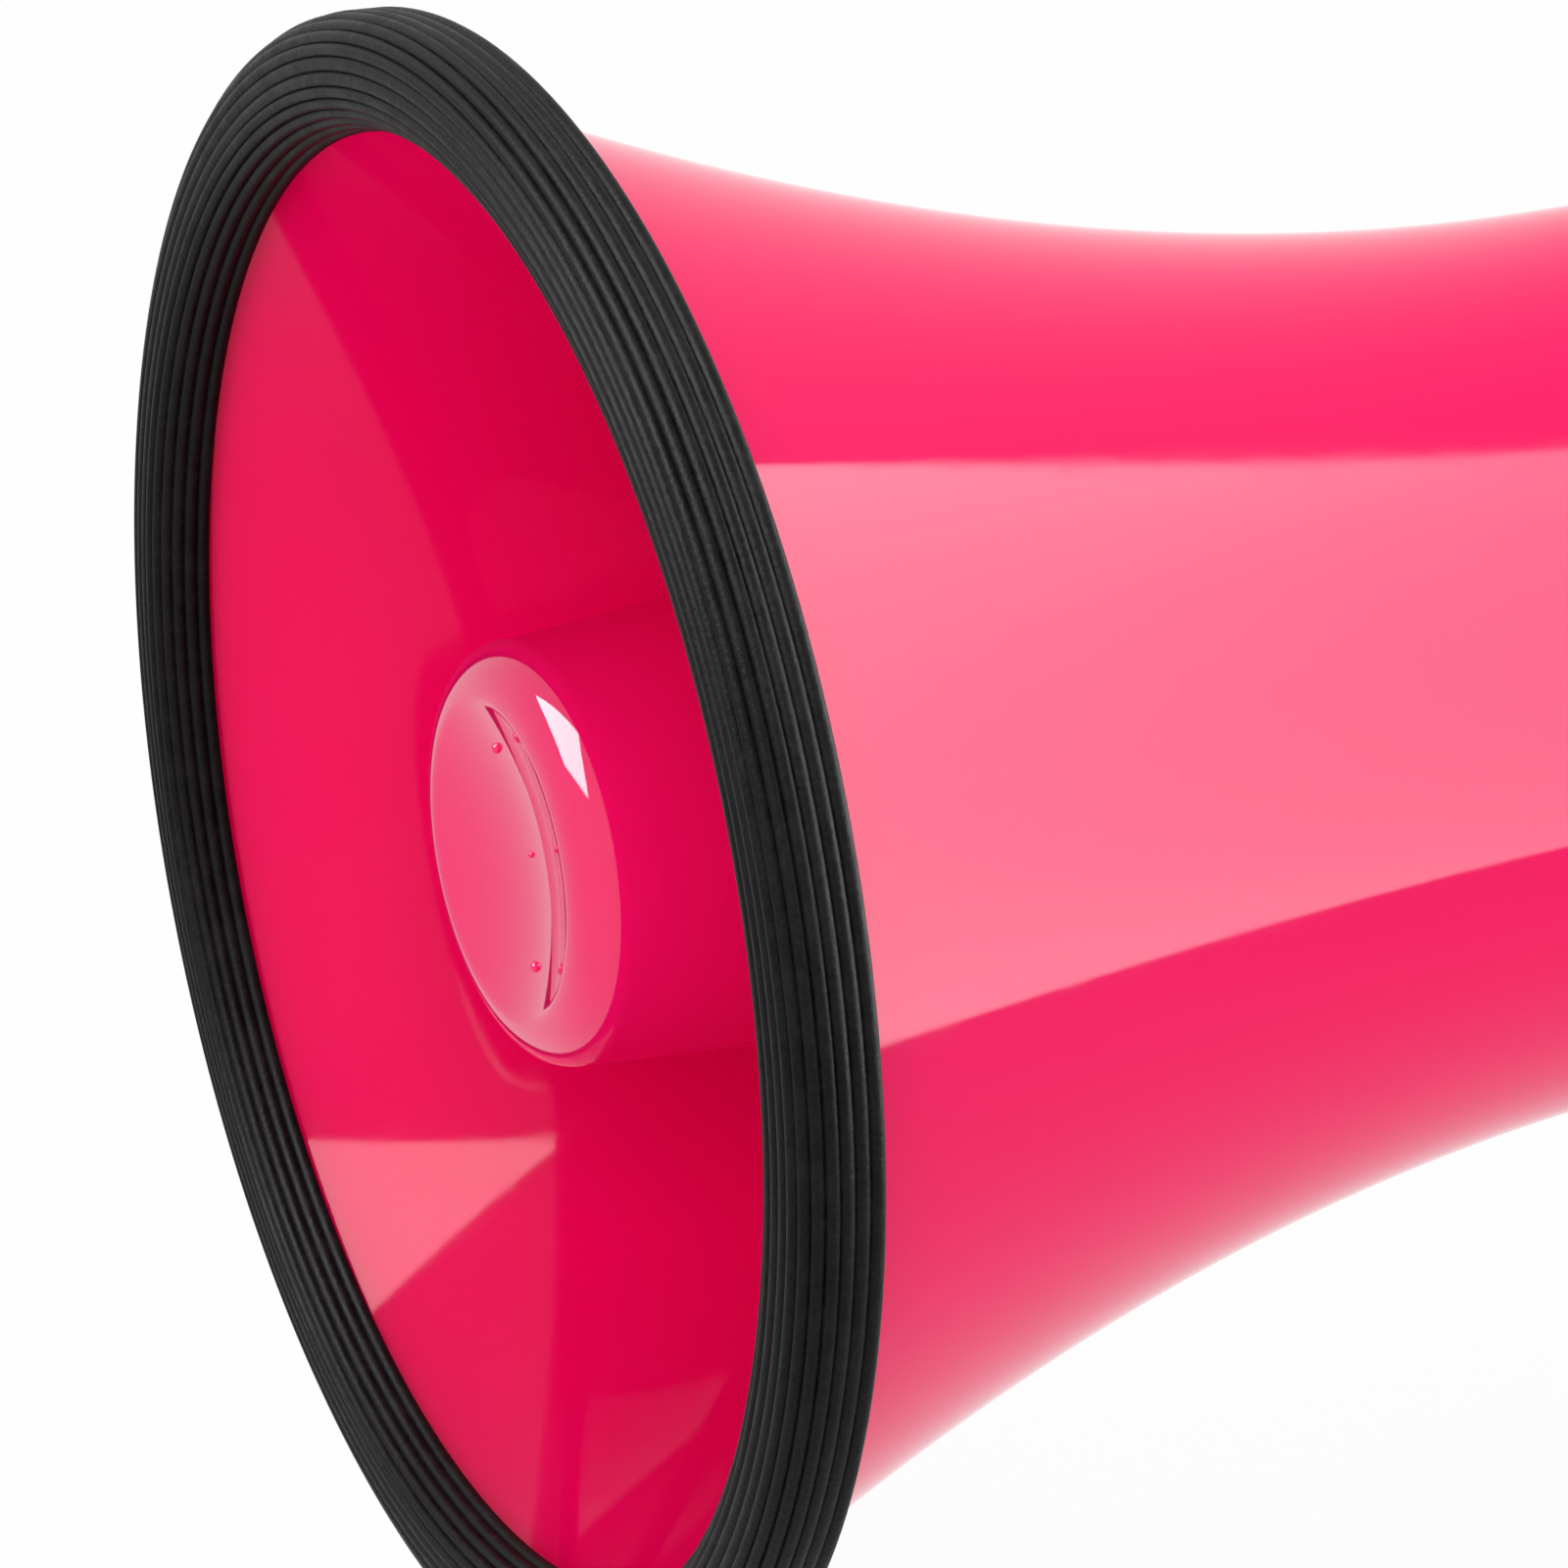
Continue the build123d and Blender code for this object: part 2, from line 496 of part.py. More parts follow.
def make_housing():
    skin = housing_body(0) - housing_body(HOUSING_WALL)
    spigot = ring(SEAM_X - SPIGOT, SEAM_X + 6, SPIGOT_R, SPIGOT_R - SPIGOT_WALL)
    step = ring(SEAM_X, SEAM_X + 6, SEAM_R - HOUSING_WALL / 2, SPIGOT_R - SPIGOT_WALL)
    housing = fuse(skin, spigot, step)
    body = housing_body(HOUSING_WALL / 2)
    housing = housing + (rod_x(BULKHEAD_X, BULKHEAD_X + BULKHEAD_T, RIM_R) & body)
    for rib in around(block(TRAY_X, TRAY_END_X - 4, -1.5, 1.5, TRAY_R, RIM_R) & body, 4, 45):
        housing = housing + rib
    for post in around(rod_x(AMP_X + BOARD_T, BULKHEAD_X, 3.6, 0, AMP_POST_PITCH), 4, 45):
        housing = housing + post
    for hole in around(rod_x(AMP_X, AMP_X + BOARD_T + 8, SCREW_R + SCREW_PLAY, 0, AMP_POST_PITCH), 4, 45):
        housing = housing - hole
    housing = housing - rod_x(BULKHEAD_X - 1, BULKHEAD_X + BULKHEAD_T + 1, 4.0)

    # Strap lug on top, hinge knuckles below.
    lug_r = 7.0
    lug_z = HOUSING_END_R + 5.0
    lug = (block(LUG_X - lug_r - 2, LUG_X + lug_r + 2, -LUG_HALF_W, LUG_HALF_W,
                 HOUSING_IN_R + 1.4, lug_z) + rod_y(-LUG_HALF_W, LUG_HALF_W, lug_r, LUG_X, lug_z))
    lug = lug - rod_y(-LUG_HALF_W - 1, LUG_HALF_W + 1, EYE_BORE_R, LUG_X, lug_z)
    housing = housing + (lug - housing_body(HOUSING_WALL / 2))
    for side in (-1, 1):
        near, far = sorted((side * (MIDDLE_KNUCKLE + SLIDING), side * KNUCKLE_HALF))
        knuckle = rod_y(near, far, KNUCKLE_R, HINGE_X, HINGE_Z)
        web = block(HINGE_X - 11, HINGE_X - 2.2, near, far, HINGE_Z - 1.5, HINGE_Z + 12)
        foot = block(HINGE_X - 6, HINGE_X, near, far, HINGE_Z - 1.5, HINGE_Z + 1.5)
        knuckle = fuse(knuckle, web, foot) - housing_body(HOUSING_WALL / 2)
        housing = housing + knuckle
    housing = housing - rod_y(-KNUCKLE_HALF - 1, KNUCKLE_HALF + 1, HINGE_PIN_R, HINGE_X, HINGE_Z)

    seat_r = bell_radius(HOUSING_SCREW_X)
    housing = cut(housing, *housing_screw_tools(SCREW_R + SCREW_PLAY, seat_r - HEAD_T - 4, seat_r + 4))
    for x in GRIP_MOUNT_X:
        housing = housing - rod_z(-RIM_R, -40, SCREW_R + 0.25, x, 0)
    save("rear_housing", housing)
    save("cover_hinge_pin", rod_y(-KNUCKLE_HALF, KNUCKLE_HALF, HINGE_PIN_R, HINGE_X, HINGE_Z))


def make_amplifier():
    holes = around(rod_x(AMP_X - 1, AMP_X + BOARD_T + 1, SCREW_R + 0.25, 0, AMP_POST_PITCH), 4, 45)
    save("amplifier_board", cut(rod_x(AMP_X, AMP_X + BOARD_T, BOARD_R), *holes))
    save("board_screws", *around(screw_x(AMP_X, 1, BOARD_T + 7.0, 0, AMP_POST_PITCH), 4, 45))
    front = DRIVER_END_X + 2.0
    core = block(front + 2, AMP_X, 12, 30, -12, 12)
    winding = block(front, AMP_X - 1, 9, 33, -8, 8)
    save("output_transformer", core + winding)
    save("capacitors", *[rod_x(front + 1, AMP_X, 5.0, y, z)
                         for y, z in ((-14, 8), (-26, 8), (-20, -5))])
    sink = block(AMP_X - 3, AMP_X, -22, 22, -38, -24)
    for i in range(8):
        y = -22 + i * 6.0
        sink = sink + block(front, AMP_X - 3, y, y + 2, -38, -24)
    save("heat_sink", sink)
    save("chips", *[block(AMP_X - 2.6, AMP_X, y, y + 9, 20, 30) for y in (-22, -8, 13)])


def cell_ring(solid):
    return around(solid, CELL_COUNT)


def make_batteries():
    end = TRAY_END_X - TRAY_PLATE
    tray = fuse(ring(TRAY_X, TRAY_X + TRAY_PLATE, TRAY_R, TRAY_HUB_R - TRAY_WALL),
                ring(end, TRAY_END_X, TRAY_R, TRAY_HUB_R - TRAY_WALL),
                ring(TRAY_X, TRAY_END_X, TRAY_HUB_R, TRAY_HUB_R - TRAY_WALL),
                *cell_ring(rod_x(TRAY_X, TRAY_END_X, CELL_R + LOOSE + TRAY_WALL, 0, CELL_PITCH)))
    for pocket in cell_ring(rod_x(TRAY_X - 1, TRAY_END_X + 1, CELL_R + LOOSE, 0, CELL_PITCH)):
        tray = tray - pocket
    save("battery_tray", tray)
    cell_x = TRAY_X + 0.5
    cell = rod_x(cell_x, cell_x + CELL_LENGTH - 1.5, CELL_R, 0, CELL_PITCH)
    nub = rod_x(cell_x + CELL_LENGTH - 1.5, cell_x + CELL_LENGTH, 3.0, 0, CELL_PITCH)
    save("battery_cells", *cell_ring(cell + nub))
    plate_r = TRAY_R - 2
    front = ring(TRAY_X - CONTACT_T, TRAY_X, plate_r, 20.0)
    save("front_contacts", front)
    lid_x = TRAY_END_X + 0.5
    save("rear_contacts", ring(TRAY_END_X, lid_x, plate_r, 20.0))
    lid = ring(lid_x, lid_x + 2.5, TRAY_R, 6.0)
    grab = block(lid_x + 2.5, lid_x + 8, -2, 2, 10, 50)
    save("battery_lid", lid + grab)


# ---- rear cover -----------------------------------------------------------------------------------
def cover_hole(r, place):
    return rod_x(PLATE_X - 1, COVER_BACK_X + 4, r, *place)


CONTROL_BACK_X = CONTROL_BOARD_X + BOARD_T      # the controls stand on this face
PANEL_SCREW_PITCH = 47.0
TAB_HALF_W = 9.0


def make_cover():
    r = HOUSING_END_R
    x0 = COVER_X + SLIDING
    back = COVER_BACK_X
    e = COVER_EDGE
    diag = e * (1 - sqrt(0.5))
    shell = spin([
        *section([(x0, r - COVER_WALL), (x0, r), (back - e, r)]),
        arc((back - e, r), (back - diag, r - diag), (back, r - e)),
        *section([(back, r - e), (back, 0), (PLATE_X, 0), (PLATE_X, r - COVER_WALL),
                  (x0, r - COVER_WALL)]),
    ])
    collar_r = HOUSING_IN_R - 1.3
    collar = ring(x0 - COVER_SPIGOT, PLATE_X - 1, collar_r, collar_r - 2.0)
    bridge = ring(x0, PLATE_X, r - COVER_WALL / 2, collar_r - 2.0)
    cover = fuse(shell, collar, bridge)
    for post in around(rod_x(CONTROL_BACK_X, PLATE_X + 0.5, 3.4, 0, PANEL_SCREW_PITCH), 3, 90):
        cover = cover + post
    for hole in around(rod_x(CONTROL_BACK_X - 1, PLATE_X - 1, SCREW_R + SCREW_PLAY, 0,
                             PANEL_SCREW_PITCH), 3, 90):
        cover = cover - hole
    ledge = ring(PLATE_X - 4.4, PLATE_X, MIC_HOLE_R + 2, MIC_HOLE_R)
    cover = cover + Pos(0, 0, MIC_Z) * ledge
    cover = cut(cover, cover_hole(MIC_HOLE_R, (0, MIC_Z)), cover_hole(SHAFT_R + 1.0, POT_PLACE),
                cover_hole(BUTTON_R + SLIDING, SIREN_PLACE), cover_hole(LAMP_R + 0.1, LAMP_PLACE),
                cover_hole(4.1, JACK_PLACE))
    y, z = MODE_PLACE
    slot_half = MODE_TRAVEL + 3.0 + SLIDING
    cover = cover - block(PLATE_X - 1, back + 1, y - 2.5 - SLIDING, y + 2.5 + SLIDING,
                          z - slot_half, z + slot_half)

    # Pull tab on top, and the middle knuckle of the hinge below.
    tab = block(x0 - 5, x0 + 8, -TAB_HALF_W, TAB_HALF_W, r - 6, r + 3.4)
    tab = tab - rod_x(x0 - 6, x0, r + SLIDING + 0.3)
    tab = tab - rod_x(x0 - 1, x0 + 9, r - COVER_WALL / 2)
    cover = cover + tab
    knuckle = rod_y(-MIDDLE_KNUCKLE, MIDDLE_KNUCKLE, KNUCKLE_R, HINGE_X, HINGE_Z)
    web = block(HINGE_X, HINGE_X + 9, -MIDDLE_KNUCKLE, MIDDLE_KNUCKLE, HINGE_Z - 1.5, HINGE_Z + 8)
    knuckle = fuse(knuckle, web) - rod_x(COVER_X - 9, x0 + 20, r - COVER_WALL / 2)
    cover = cover + knuckle
    cover = cover - rod_y(-MIDDLE_KNUCKLE - 1, MIDDLE_KNUCKLE + 1, HINGE_PIN_R + RUNNING,
                          HINGE_X, HINGE_Z)
    save("rear_cover", cover)
    save("cover_seal", ring(x0 - 3.6, x0 - 1.6, collar_r + 0.9, collar_r))

    # Microphone.
    grille = ring(back, back + GRILLE_T, GRILLE_R, MIC_HOLE_R - 0.5)
    for i in range(-4, 5):
        z_bar = i * 3.0
        half = sqrt((MIC_HOLE_R + 0.4) ** 2 - z_bar ** 2)
        grille = grille + block(back + 0.3, back + GRILLE_T - 0.3, -half, half, z_bar - 0.6, z_bar + 0.6)
    save("mic_grille", Pos(0, 0, MIC_Z) * grille)
    save("mic_foam", rod_x(PLATE_X - 1.0, back, MIC_HOLE_R - 0.2, 0, MIC_Z))
    save("mic_capsule", rod_x(PLATE_X - 5.4, PLATE_X - 1.0, 4.8, 0, MIC_Z))
    holder = ring(CONTROL_BACK_X, PLATE_X - 1.4, 7.5, 5.1) + ring(
        CONTROL_BACK_X, PLATE_X - 5.4, 7.5, 2.0)
    save("mic_holder", Pos(0, 0, MIC_Z) * holder)

    board = rod_x(CONTROL_BOARD_X, CONTROL_BACK_X, 52.0)
    for hole in around(rod_x(CONTROL_BOARD_X - 1, CONTROL_BACK_X + 1, SCREW_R + 0.25, 0,
                             PANEL_SCREW_PITCH), 3, 90):
        board = board - hole
    save("control_board", board)
    save("panel_screws", *around(screw_x(CONTROL_BOARD_X, 1, BOARD_T + 5.5, 0, PANEL_SCREW_PITCH), 3, 90))


def make_controls():
    back = COVER_BACK_X
    py, pz = POT_PLACE
    pot = rod_x(CONTROL_BACK_X, PLATE_X, 8.5, py, pz)
    save("volume_pot", pot - rod_x(CONTROL_BACK_X + 1.5, PLATE_X + 1, SHAFT_R + RUNNING, py, pz))
    shaft = rod_x(CONTROL_BACK_X + 1.8, back + KNOB_T - 2.2, SHAFT_R, py, pz)
    flat = block(back + 1, back + KNOB_T + 1, py - 4, py + 4, pz + 1.8, pz + 4)
    save("volume_shaft", shaft - flat)
    knob = rod_x(back + 0.6, back + 0.6 + KNOB_T, KNOB_R, py, pz)
    knob = fillet(knob.edges().filter_by(GeomType.CIRCLE).group_by(Axis.X)[-1], 1.2)
    bore = rod_x(back - 1, back + KNOB_T - 2.0, SHAFT_R + 0.01, py, pz) - flat
    knob = knob - bore
    for i in range(24):
        angle = 15.0 * i
        place = Pos(0, py, pz) * Rot(angle, 0, 0)
        knob = knob - place * rod_x(back - 1, back + KNOB_T - 1.6, 0.7, 0, KNOB_R)
    mark = Pos(0, py, pz) * block(back + KNOB_T, back + KNOB_T + 2, -0.6, 0.6, 4.5, KNOB_R - 2)
    save("volume_knob", knob - mark)

    my, mz = MODE_PLACE
    body = block(CONTROL_BACK_X, PLATE_X, my - 5, my + 5, mz - 12, mz + 12)
    way = block(CONTROL_BACK_X + 2.5, PLATE_X + 1, my - 2.5 - SLIDING, my + 2.5 + SLIDING,
                mz - 8.5, mz + 8.5)
    save("mode_switch", body - way)
    slider = block(CONTROL_BACK_X + 2.8, back + 3.4, my - 2.5, my + 2.5, mz - 3, mz + 3)
    for i in (-1, 0, 1):
        slider = slider - block(back + 2.6, back + 4, my - 3, my + 3, mz + 1.7 * i - 0.35, mz + 1.7 * i + 0.35)
    save("mode_slider", slider)

    sy, sz = SIREN_PLACE
    switch = block(CONTROL_BACK_X, CONTROL_BACK_X + 4, sy - 4, sy + 4, sz - 4, sz + 4)
    save("siren_switch", switch)
    cap_x = CONTROL_BACK_X + 4 + BUTTON_TRAVEL + SLIDING
    button = rod_x(cap_x, back + 3.0, BUTTON_R, sy, sz)
    button = fillet(button.edges().filter_by(GeomType.CIRCLE).group_by(Axis.X)[-1], 1.5)
    save("siren_button", button)
    ly, lz = LAMP_PLACE
    lens = rod_x(CONTROL_BACK_X, back, LAMP_R, ly, lz) + Pos(back, ly, lz) * Sphere(LAMP_R)
    save("power_lamp", lens)
    jy, jz = JACK_PLACE
    jack = fuse(block(CONTROL_BACK_X, PLATE_X, jy - 5, jy + 5, jz - 5, jz + 5),
                rod_x(PLATE_X, back + 1.0, 4.0, jy, jz), rod_x(back, back + 1.0, 5.2, jy, jz))
    save("aux_jack", jack - rod_x(CONTROL_BACK_X + 1, back + 2, JACK_BORE_R, jy, jz))


# ---- grip and trigger -----------------------------------------------------------------------------
GRIP_MOUNT_X = (231.5, 276.0)
GRIP_TOP_Z = -50.0
TRIGGER_TIP_Z = PIVOT_Z - 34.0
BACK_FACE_X = PIVOT_X - 3.0                     # flat back of the trigger
ARM_TOP_Z = PIVOT_Z + 3.0
SPRING_X = PIVOT_X + SPRING_BACK
SWITCH_Z = PIVOT_Z - SWITCH_DROP
SWITCH_X = BACK_FACE_X + SLIDING + 4.2          # front face of the talk switch
PLUNGER_TRAVEL = SWITCH_DROP * radians(TRIGGER_TRAVEL)


def grip_outline(inset):
    """The grip seen from the side, moved in by inset."""
    base = GRIP_BASE_Z + inset
    front, rear = GRIP_FRONT_X + inset, GRIP_REAR_X - inset
    neck_z = (GRIP_BASE_Z + GRIP_TOP_Z) / 2
    front_edge = Bezier((front, 0, GRIP_TOP_Z), (front + GRIP_RAKE * 0.9, 0, neck_z),
                        (front + GRIP_RAKE, 0, base))
    rear_edge = Bezier((rear, 0, GRIP_TOP_Z), (rear - 2.2 * GRIP_NECK, 0, neck_z),
                       (rear + GRIP_RAKE * 0.35, 0, base))
    return make_face([
        front_edge, rear_edge,
        Line((front + GRIP_RAKE, 0, base), (rear + GRIP_RAKE * 0.35, 0, base)),
        Line((front, 0, GRIP_TOP_Z), (rear, 0, GRIP_TOP_Z)),
    ])


def grip_front_x(z):
    """The grip's front edge at height z, from the same curve as its outline."""
    share = (GRIP_TOP_Z - z) / (GRIP_TOP_Z - GRIP_BASE_Z)
    return GRIP_FRONT_X + GRIP_RAKE * (1.8 * share * (1 - share) + share ** 2)


def under_housing(gap):
    """All that lies outside the round of the rear housing by more than gap."""
    return housing_body(-gap)


def make_grip():
    solid = extrude(grip_outline(0), GRIP_HALF_W, both=True)
    long_edges = [e for e in solid.edges()
                  if abs(abs(e.center().Y) - GRIP_HALF_W) < 0.01 and e.center().Z < GRIP_TOP_Z - 1
                  and e.center().Z > GRIP_BASE_Z + 1]
    solid = fillet(long_edges, GRIP_ROUND)
    cavity = extrude(grip_outline(GRIP_WALL), GRIP_HALF_W - GRIP_WALL, both=True)
    cavity = cavity - under_housing(SADDLE_T)
    inner_edges = [e for e in cavity.edges()
                   if abs(abs(e.center().Y) - GRIP_HALF_W + GRIP_WALL) < 0.01
                   and e.length > (GRIP_TOP_Z - GRIP_BASE_Z) * 0.6]
    cavity = fillet(inner_edges, GRIP_ROUND - GRIP_WALL)
    shell = solid - cavity - under_housing(0.02)

    # Mouth for the trigger in the front wall.
    mouth_top = PIVOT_Z + 8.0
    mouth_low = TRIGGER_TIP_Z - 2.0
    shell = shell - block(GRIP_FRONT_X - 5, PIVOT_X, -TRIGGER_HALF_W - 0.6, TRIGGER_HALF_W + 0.6,
                          mouth_low, mouth_top)
    halves = []
    for side in (-1, 1):
        keep = block(150, 350, *sorted((0, side * 60)), -220, 0)
        half = shell & keep
        inner = side * (GRIP_HALF_W - GRIP_WALL / 2)

        def pillar(r, x, z, near):
            return rod_y(*sorted((side * near, inner)), r, x, z)

        half = half + (pillar(4.2, PIVOT_X, PIVOT_Z, TRIGGER_HALF_W + SLIDING) & solid)
        half = half - rod_y(-12.0, 12.0, PIVOT_PIN_R, PIVOT_X, PIVOT_Z)
        for x, z in GRIP_SCREWS:
            half = half + pillar(4.0, x, z, 0)
        cradle = block(SWITCH_X + 3, SWITCH_X + 9, *sorted((side * SWITCH_HALF_W, inner)),
                       SWITCH_Z - 5, SWITCH_Z + 5)
        half = half + cradle
        for x in GRIP_MOUNT_X:
            top = housing_bottom(x)
            post = rod_z(top - 12, top, 4.0, x, 0) & keep & solid
            half = half + (post - under_housing(0.02))
            half = half - rod_z(top - 10, top + 2, SCREW_R + SCREW_PLAY, x, 0)
        for x, z in GRIP_SCREWS:
            if side < 0:
                half = half - rod_y(-9.0, 1.0, SCREW_R + SCREW_PLAY, x, z)
            else:
                half = half - rod_y(-1.0, 30.0, SCREW_R + 0.25, x, z)
                half = half - rod_y(GRIP_HALF_W - HEAD_T - 1.0, 30.0, HEAD_R + 0.3, x, z)
        slot = block(EYE_X - 12, EYE_X + 12, -EYE_T / 2 - 0.05, EYE_T / 2 + 0.05,
                     EYE_Z - EYE_R - 0.5, EYE_Z + EYE_R + 0.5)
        half = half - (slot & eye_reach(0.05))
        halves.append(half)
    save("grip_left", halves[0])
    save("grip_right", halves[1])
    save("grip_screws", *[
        rod_y(GRIP_HALF_W - HEAD_T - 1.0, GRIP_HALF_W - 1.0, HEAD_R, x, z)
        + rod_y(-8.0, GRIP_HALF_W - HEAD_T - 1.0, SCREW_R, x, z) for x, z in GRIP_SCREWS])
    mounts = []
    for x in GRIP_MOUNT_X:
        inside = housing_bottom(x) + HOUSING_WALL
        mounts.append(rod_z(inside, inside + HEAD_T, HEAD_R + 0.6, x, 0)
                      + rod_z(inside - HOUSING_WALL - 9, inside, SCREW_R, x, 0))
    mounts = [m - housing_skin_ring() for m in mounts]
    save("grip_mount_screws", *mounts)
    save("strap_eye", make_eye())
    save("trigger_pin", rod_y(-12.0, 12.0, PIVOT_PIN_R, PIVOT_X, PIVOT_Z))


def housing_skin_ring():
    """The housing's wall round the grip's screws, drilled for them."""
    skin = housing_body(0) - housing_body(HOUSING_WALL)
    for x in GRIP_MOUNT_X:
        skin = skin - rod_z(-RIM_R, -40, SCREW_R + 0.25, x, 0)
    return skin


def housing_bottom(x):
    """Height of the housing's outer skin at its lowest line, from the curve's own equation."""
    knee_r = SEAM_R + SEAM_SLOPE * (HOUSING_KNEE_X - SEAM_X)
    low, high = 0.0, 1.0
    for _ in range(40):
        t = (low + high) / 2
        here = (1 - t) ** 2 * SEAM_X + 2 * t * (1 - t) * HOUSING_KNEE_X + t ** 2 * HOUSING_END_X
        low, high = (t, high) if here < x else (low, t)
    return -((1 - t) ** 2 * SEAM_R + 2 * t * (1 - t) * knee_r + t ** 2 * HOUSING_END_R)


EYE_R = 7.0
EYE_Z = GRIP_BASE_Z + 12.0
EYE_X = GRIP_REAR_X + GRIP_RAKE * 0.35 + 2.5


def eye_reach(grow):
    """Outline of the strap eye: a round end outside the grip and a tongue that reaches into it."""
    half = EYE_T / 2 + grow
    tongue = block(EYE_X - 12, EYE_X, -half, half, EYE_Z - 5 - grow, EYE_Z + 5 + grow)
    flange = block(EYE_X - 12 - grow, EYE_X - 9 + grow, -half, half, EYE_Z - EYE_R - grow,
                   EYE_Z + EYE_R + grow)
    return fuse(rod_y(-half, half, EYE_R + grow, EYE_X, EYE_Z), tongue, flange)


def make_eye():
    return eye_reach(0) - rod_y(-EYE_T, EYE_T, EYE_BORE_R, EYE_X, EYE_Z)


def make_trigger():
    """A blade hung from its pin, with a rear arm under the return spring."""
    front_top = grip_front_x(PIVOT_Z) - 3.0
    face_x = grip_front_x(PIVOT_Z - 17) - 9.0
    tip_x = grip_front_x(TRIGGER_TIP_Z) - 12.0
    tip_back = grip_front_x(TRIGGER_TIP_Z) + 1.0
    blade = make_face([
        Line((PIVOT_X - 1, 0, PIVOT_Z + 5), (front_top, 0, PIVOT_Z + 5)),
        Spline((front_top, 0, PIVOT_Z + 5), (face_x, 0, PIVOT_Z - 14), (tip_x, 0, TRIGGER_TIP_Z),
               tangents=((-0.3, 0, -1), (-0.9, 0, -0.6))),
        Line((tip_x, 0, TRIGGER_TIP_Z), (tip_back, 0, TRIGGER_TIP_Z)),
        Line((tip_back, 0, TRIGGER_TIP_Z), (BACK_FACE_X, 0, TRIGGER_TIP_Z + 9)),
        Line((BACK_FACE_X, 0, TRIGGER_TIP_Z + 9), (BACK_FACE_X, 0, PIVOT_Z - 4)),
        Line((BACK_FACE_X, 0, PIVOT_Z - 4), (PIVOT_X - 1, 0, PIVOT_Z - 4)),
        Line((PIVOT_X - 1, 0, PIVOT_Z - 4), (PIVOT_X - 1, 0, PIVOT_Z + 5)),
    ])
    body = extrude(blade, TRIGGER_HALF_W, both=True)
    face_edges = [e for e in body.edges() if e.geom_type == GeomType.BSPLINE]
    body = fillet(face_edges, 2.6)
    hub = rod_y(-TRIGGER_HALF_W, TRIGGER_HALF_W, 5.0, PIVOT_X, PIVOT_Z)
    arm = block(PIVOT_X, SPRING_X + SPRING_R + 1.2, -3.6, 3.6, ARM_TOP_Z - 5, ARM_TOP_Z)
    body = fuse(body, hub, arm)
    body = body - rod_y(-20, 20, PIVOT_PIN_R + RUNNING, PIVOT_X, PIVOT_Z)
    save("trigger", body)

    roof = -cavity_roof(SPRING_X)
    save("trigger_spring", rod_z(ARM_TOP_Z, roof, SPRING_R, SPRING_X, 0)
         - rod_z(ARM_TOP_Z - 1, roof + 1, SPRING_R - SPRING_WIRE, SPRING_X, 0))

    depth = 12.0
    case = block(SWITCH_X, SWITCH_X + depth, -SWITCH_HALF_W, SWITCH_HALF_W, SWITCH_Z - 7, SWITCH_Z + 7)
    guide_end = SWITCH_X + 1.8 + PLUNGER_TRAVEL + 5.0
    case = case - rod_x(SWITCH_X - 1, guide_end, PLUNGER_R + RUNNING, 0, SWITCH_Z)
    save("talk_switch", case)
    tip = BACK_FACE_X + SLIDING
    save("talk_plunger", rod_x(tip, guide_end - PLUNGER_TRAVEL - SLIDING, PLUNGER_R, 0, SWITCH_Z))


def cavity_roof(x):
    """How far below the axis the underside of the grip's saddle is, at x."""
    return -housing_bottom(x) + SADDLE_T + SLIDING


def main():
    os.makedirs("parts", exist_ok=True)
    make_horn()
    make_driver()
    make_housing()
    make_amplifier()
    make_batteries()
    make_cover()
    make_controls()
    make_grip()
    make_trigger()


main()
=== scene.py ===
"""Looks of a handheld megaphone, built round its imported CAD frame.

The horn's axis is X with the mouth at X = 0 facing -X, Z is up, and every size is in metres.
"""
from __future__ import annotations

import json
import logging
import math
from dataclasses import dataclass, field
from enum import Enum
from typing import Any, Iterable, Sequence

import bpy
from mathutils import Matrix, Vector

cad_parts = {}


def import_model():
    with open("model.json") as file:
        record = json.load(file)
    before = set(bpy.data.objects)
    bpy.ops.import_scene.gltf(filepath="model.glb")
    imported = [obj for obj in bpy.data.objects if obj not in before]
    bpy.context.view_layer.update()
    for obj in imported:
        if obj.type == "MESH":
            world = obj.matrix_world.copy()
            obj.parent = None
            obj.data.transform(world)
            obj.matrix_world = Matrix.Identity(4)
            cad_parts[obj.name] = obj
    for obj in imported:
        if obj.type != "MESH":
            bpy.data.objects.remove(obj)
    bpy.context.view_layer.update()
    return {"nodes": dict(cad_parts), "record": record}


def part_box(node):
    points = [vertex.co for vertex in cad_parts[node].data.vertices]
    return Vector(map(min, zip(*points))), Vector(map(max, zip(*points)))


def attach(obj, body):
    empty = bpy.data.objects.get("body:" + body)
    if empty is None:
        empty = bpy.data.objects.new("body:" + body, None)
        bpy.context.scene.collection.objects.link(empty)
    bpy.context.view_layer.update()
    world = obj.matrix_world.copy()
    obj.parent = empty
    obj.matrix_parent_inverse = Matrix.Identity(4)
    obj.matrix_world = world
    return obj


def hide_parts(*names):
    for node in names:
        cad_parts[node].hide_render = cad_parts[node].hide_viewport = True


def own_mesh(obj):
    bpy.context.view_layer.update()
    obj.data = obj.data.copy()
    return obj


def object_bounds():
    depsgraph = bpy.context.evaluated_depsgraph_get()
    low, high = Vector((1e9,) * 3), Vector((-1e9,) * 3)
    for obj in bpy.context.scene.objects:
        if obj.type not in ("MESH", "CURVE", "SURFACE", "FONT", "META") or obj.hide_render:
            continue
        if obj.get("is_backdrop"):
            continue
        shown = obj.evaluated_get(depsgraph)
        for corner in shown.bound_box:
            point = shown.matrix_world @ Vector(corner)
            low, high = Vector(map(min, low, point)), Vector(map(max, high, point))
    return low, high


LOG = logging.getLogger("megaphone")
MM = 0.001
Colour = tuple[float, float, float]


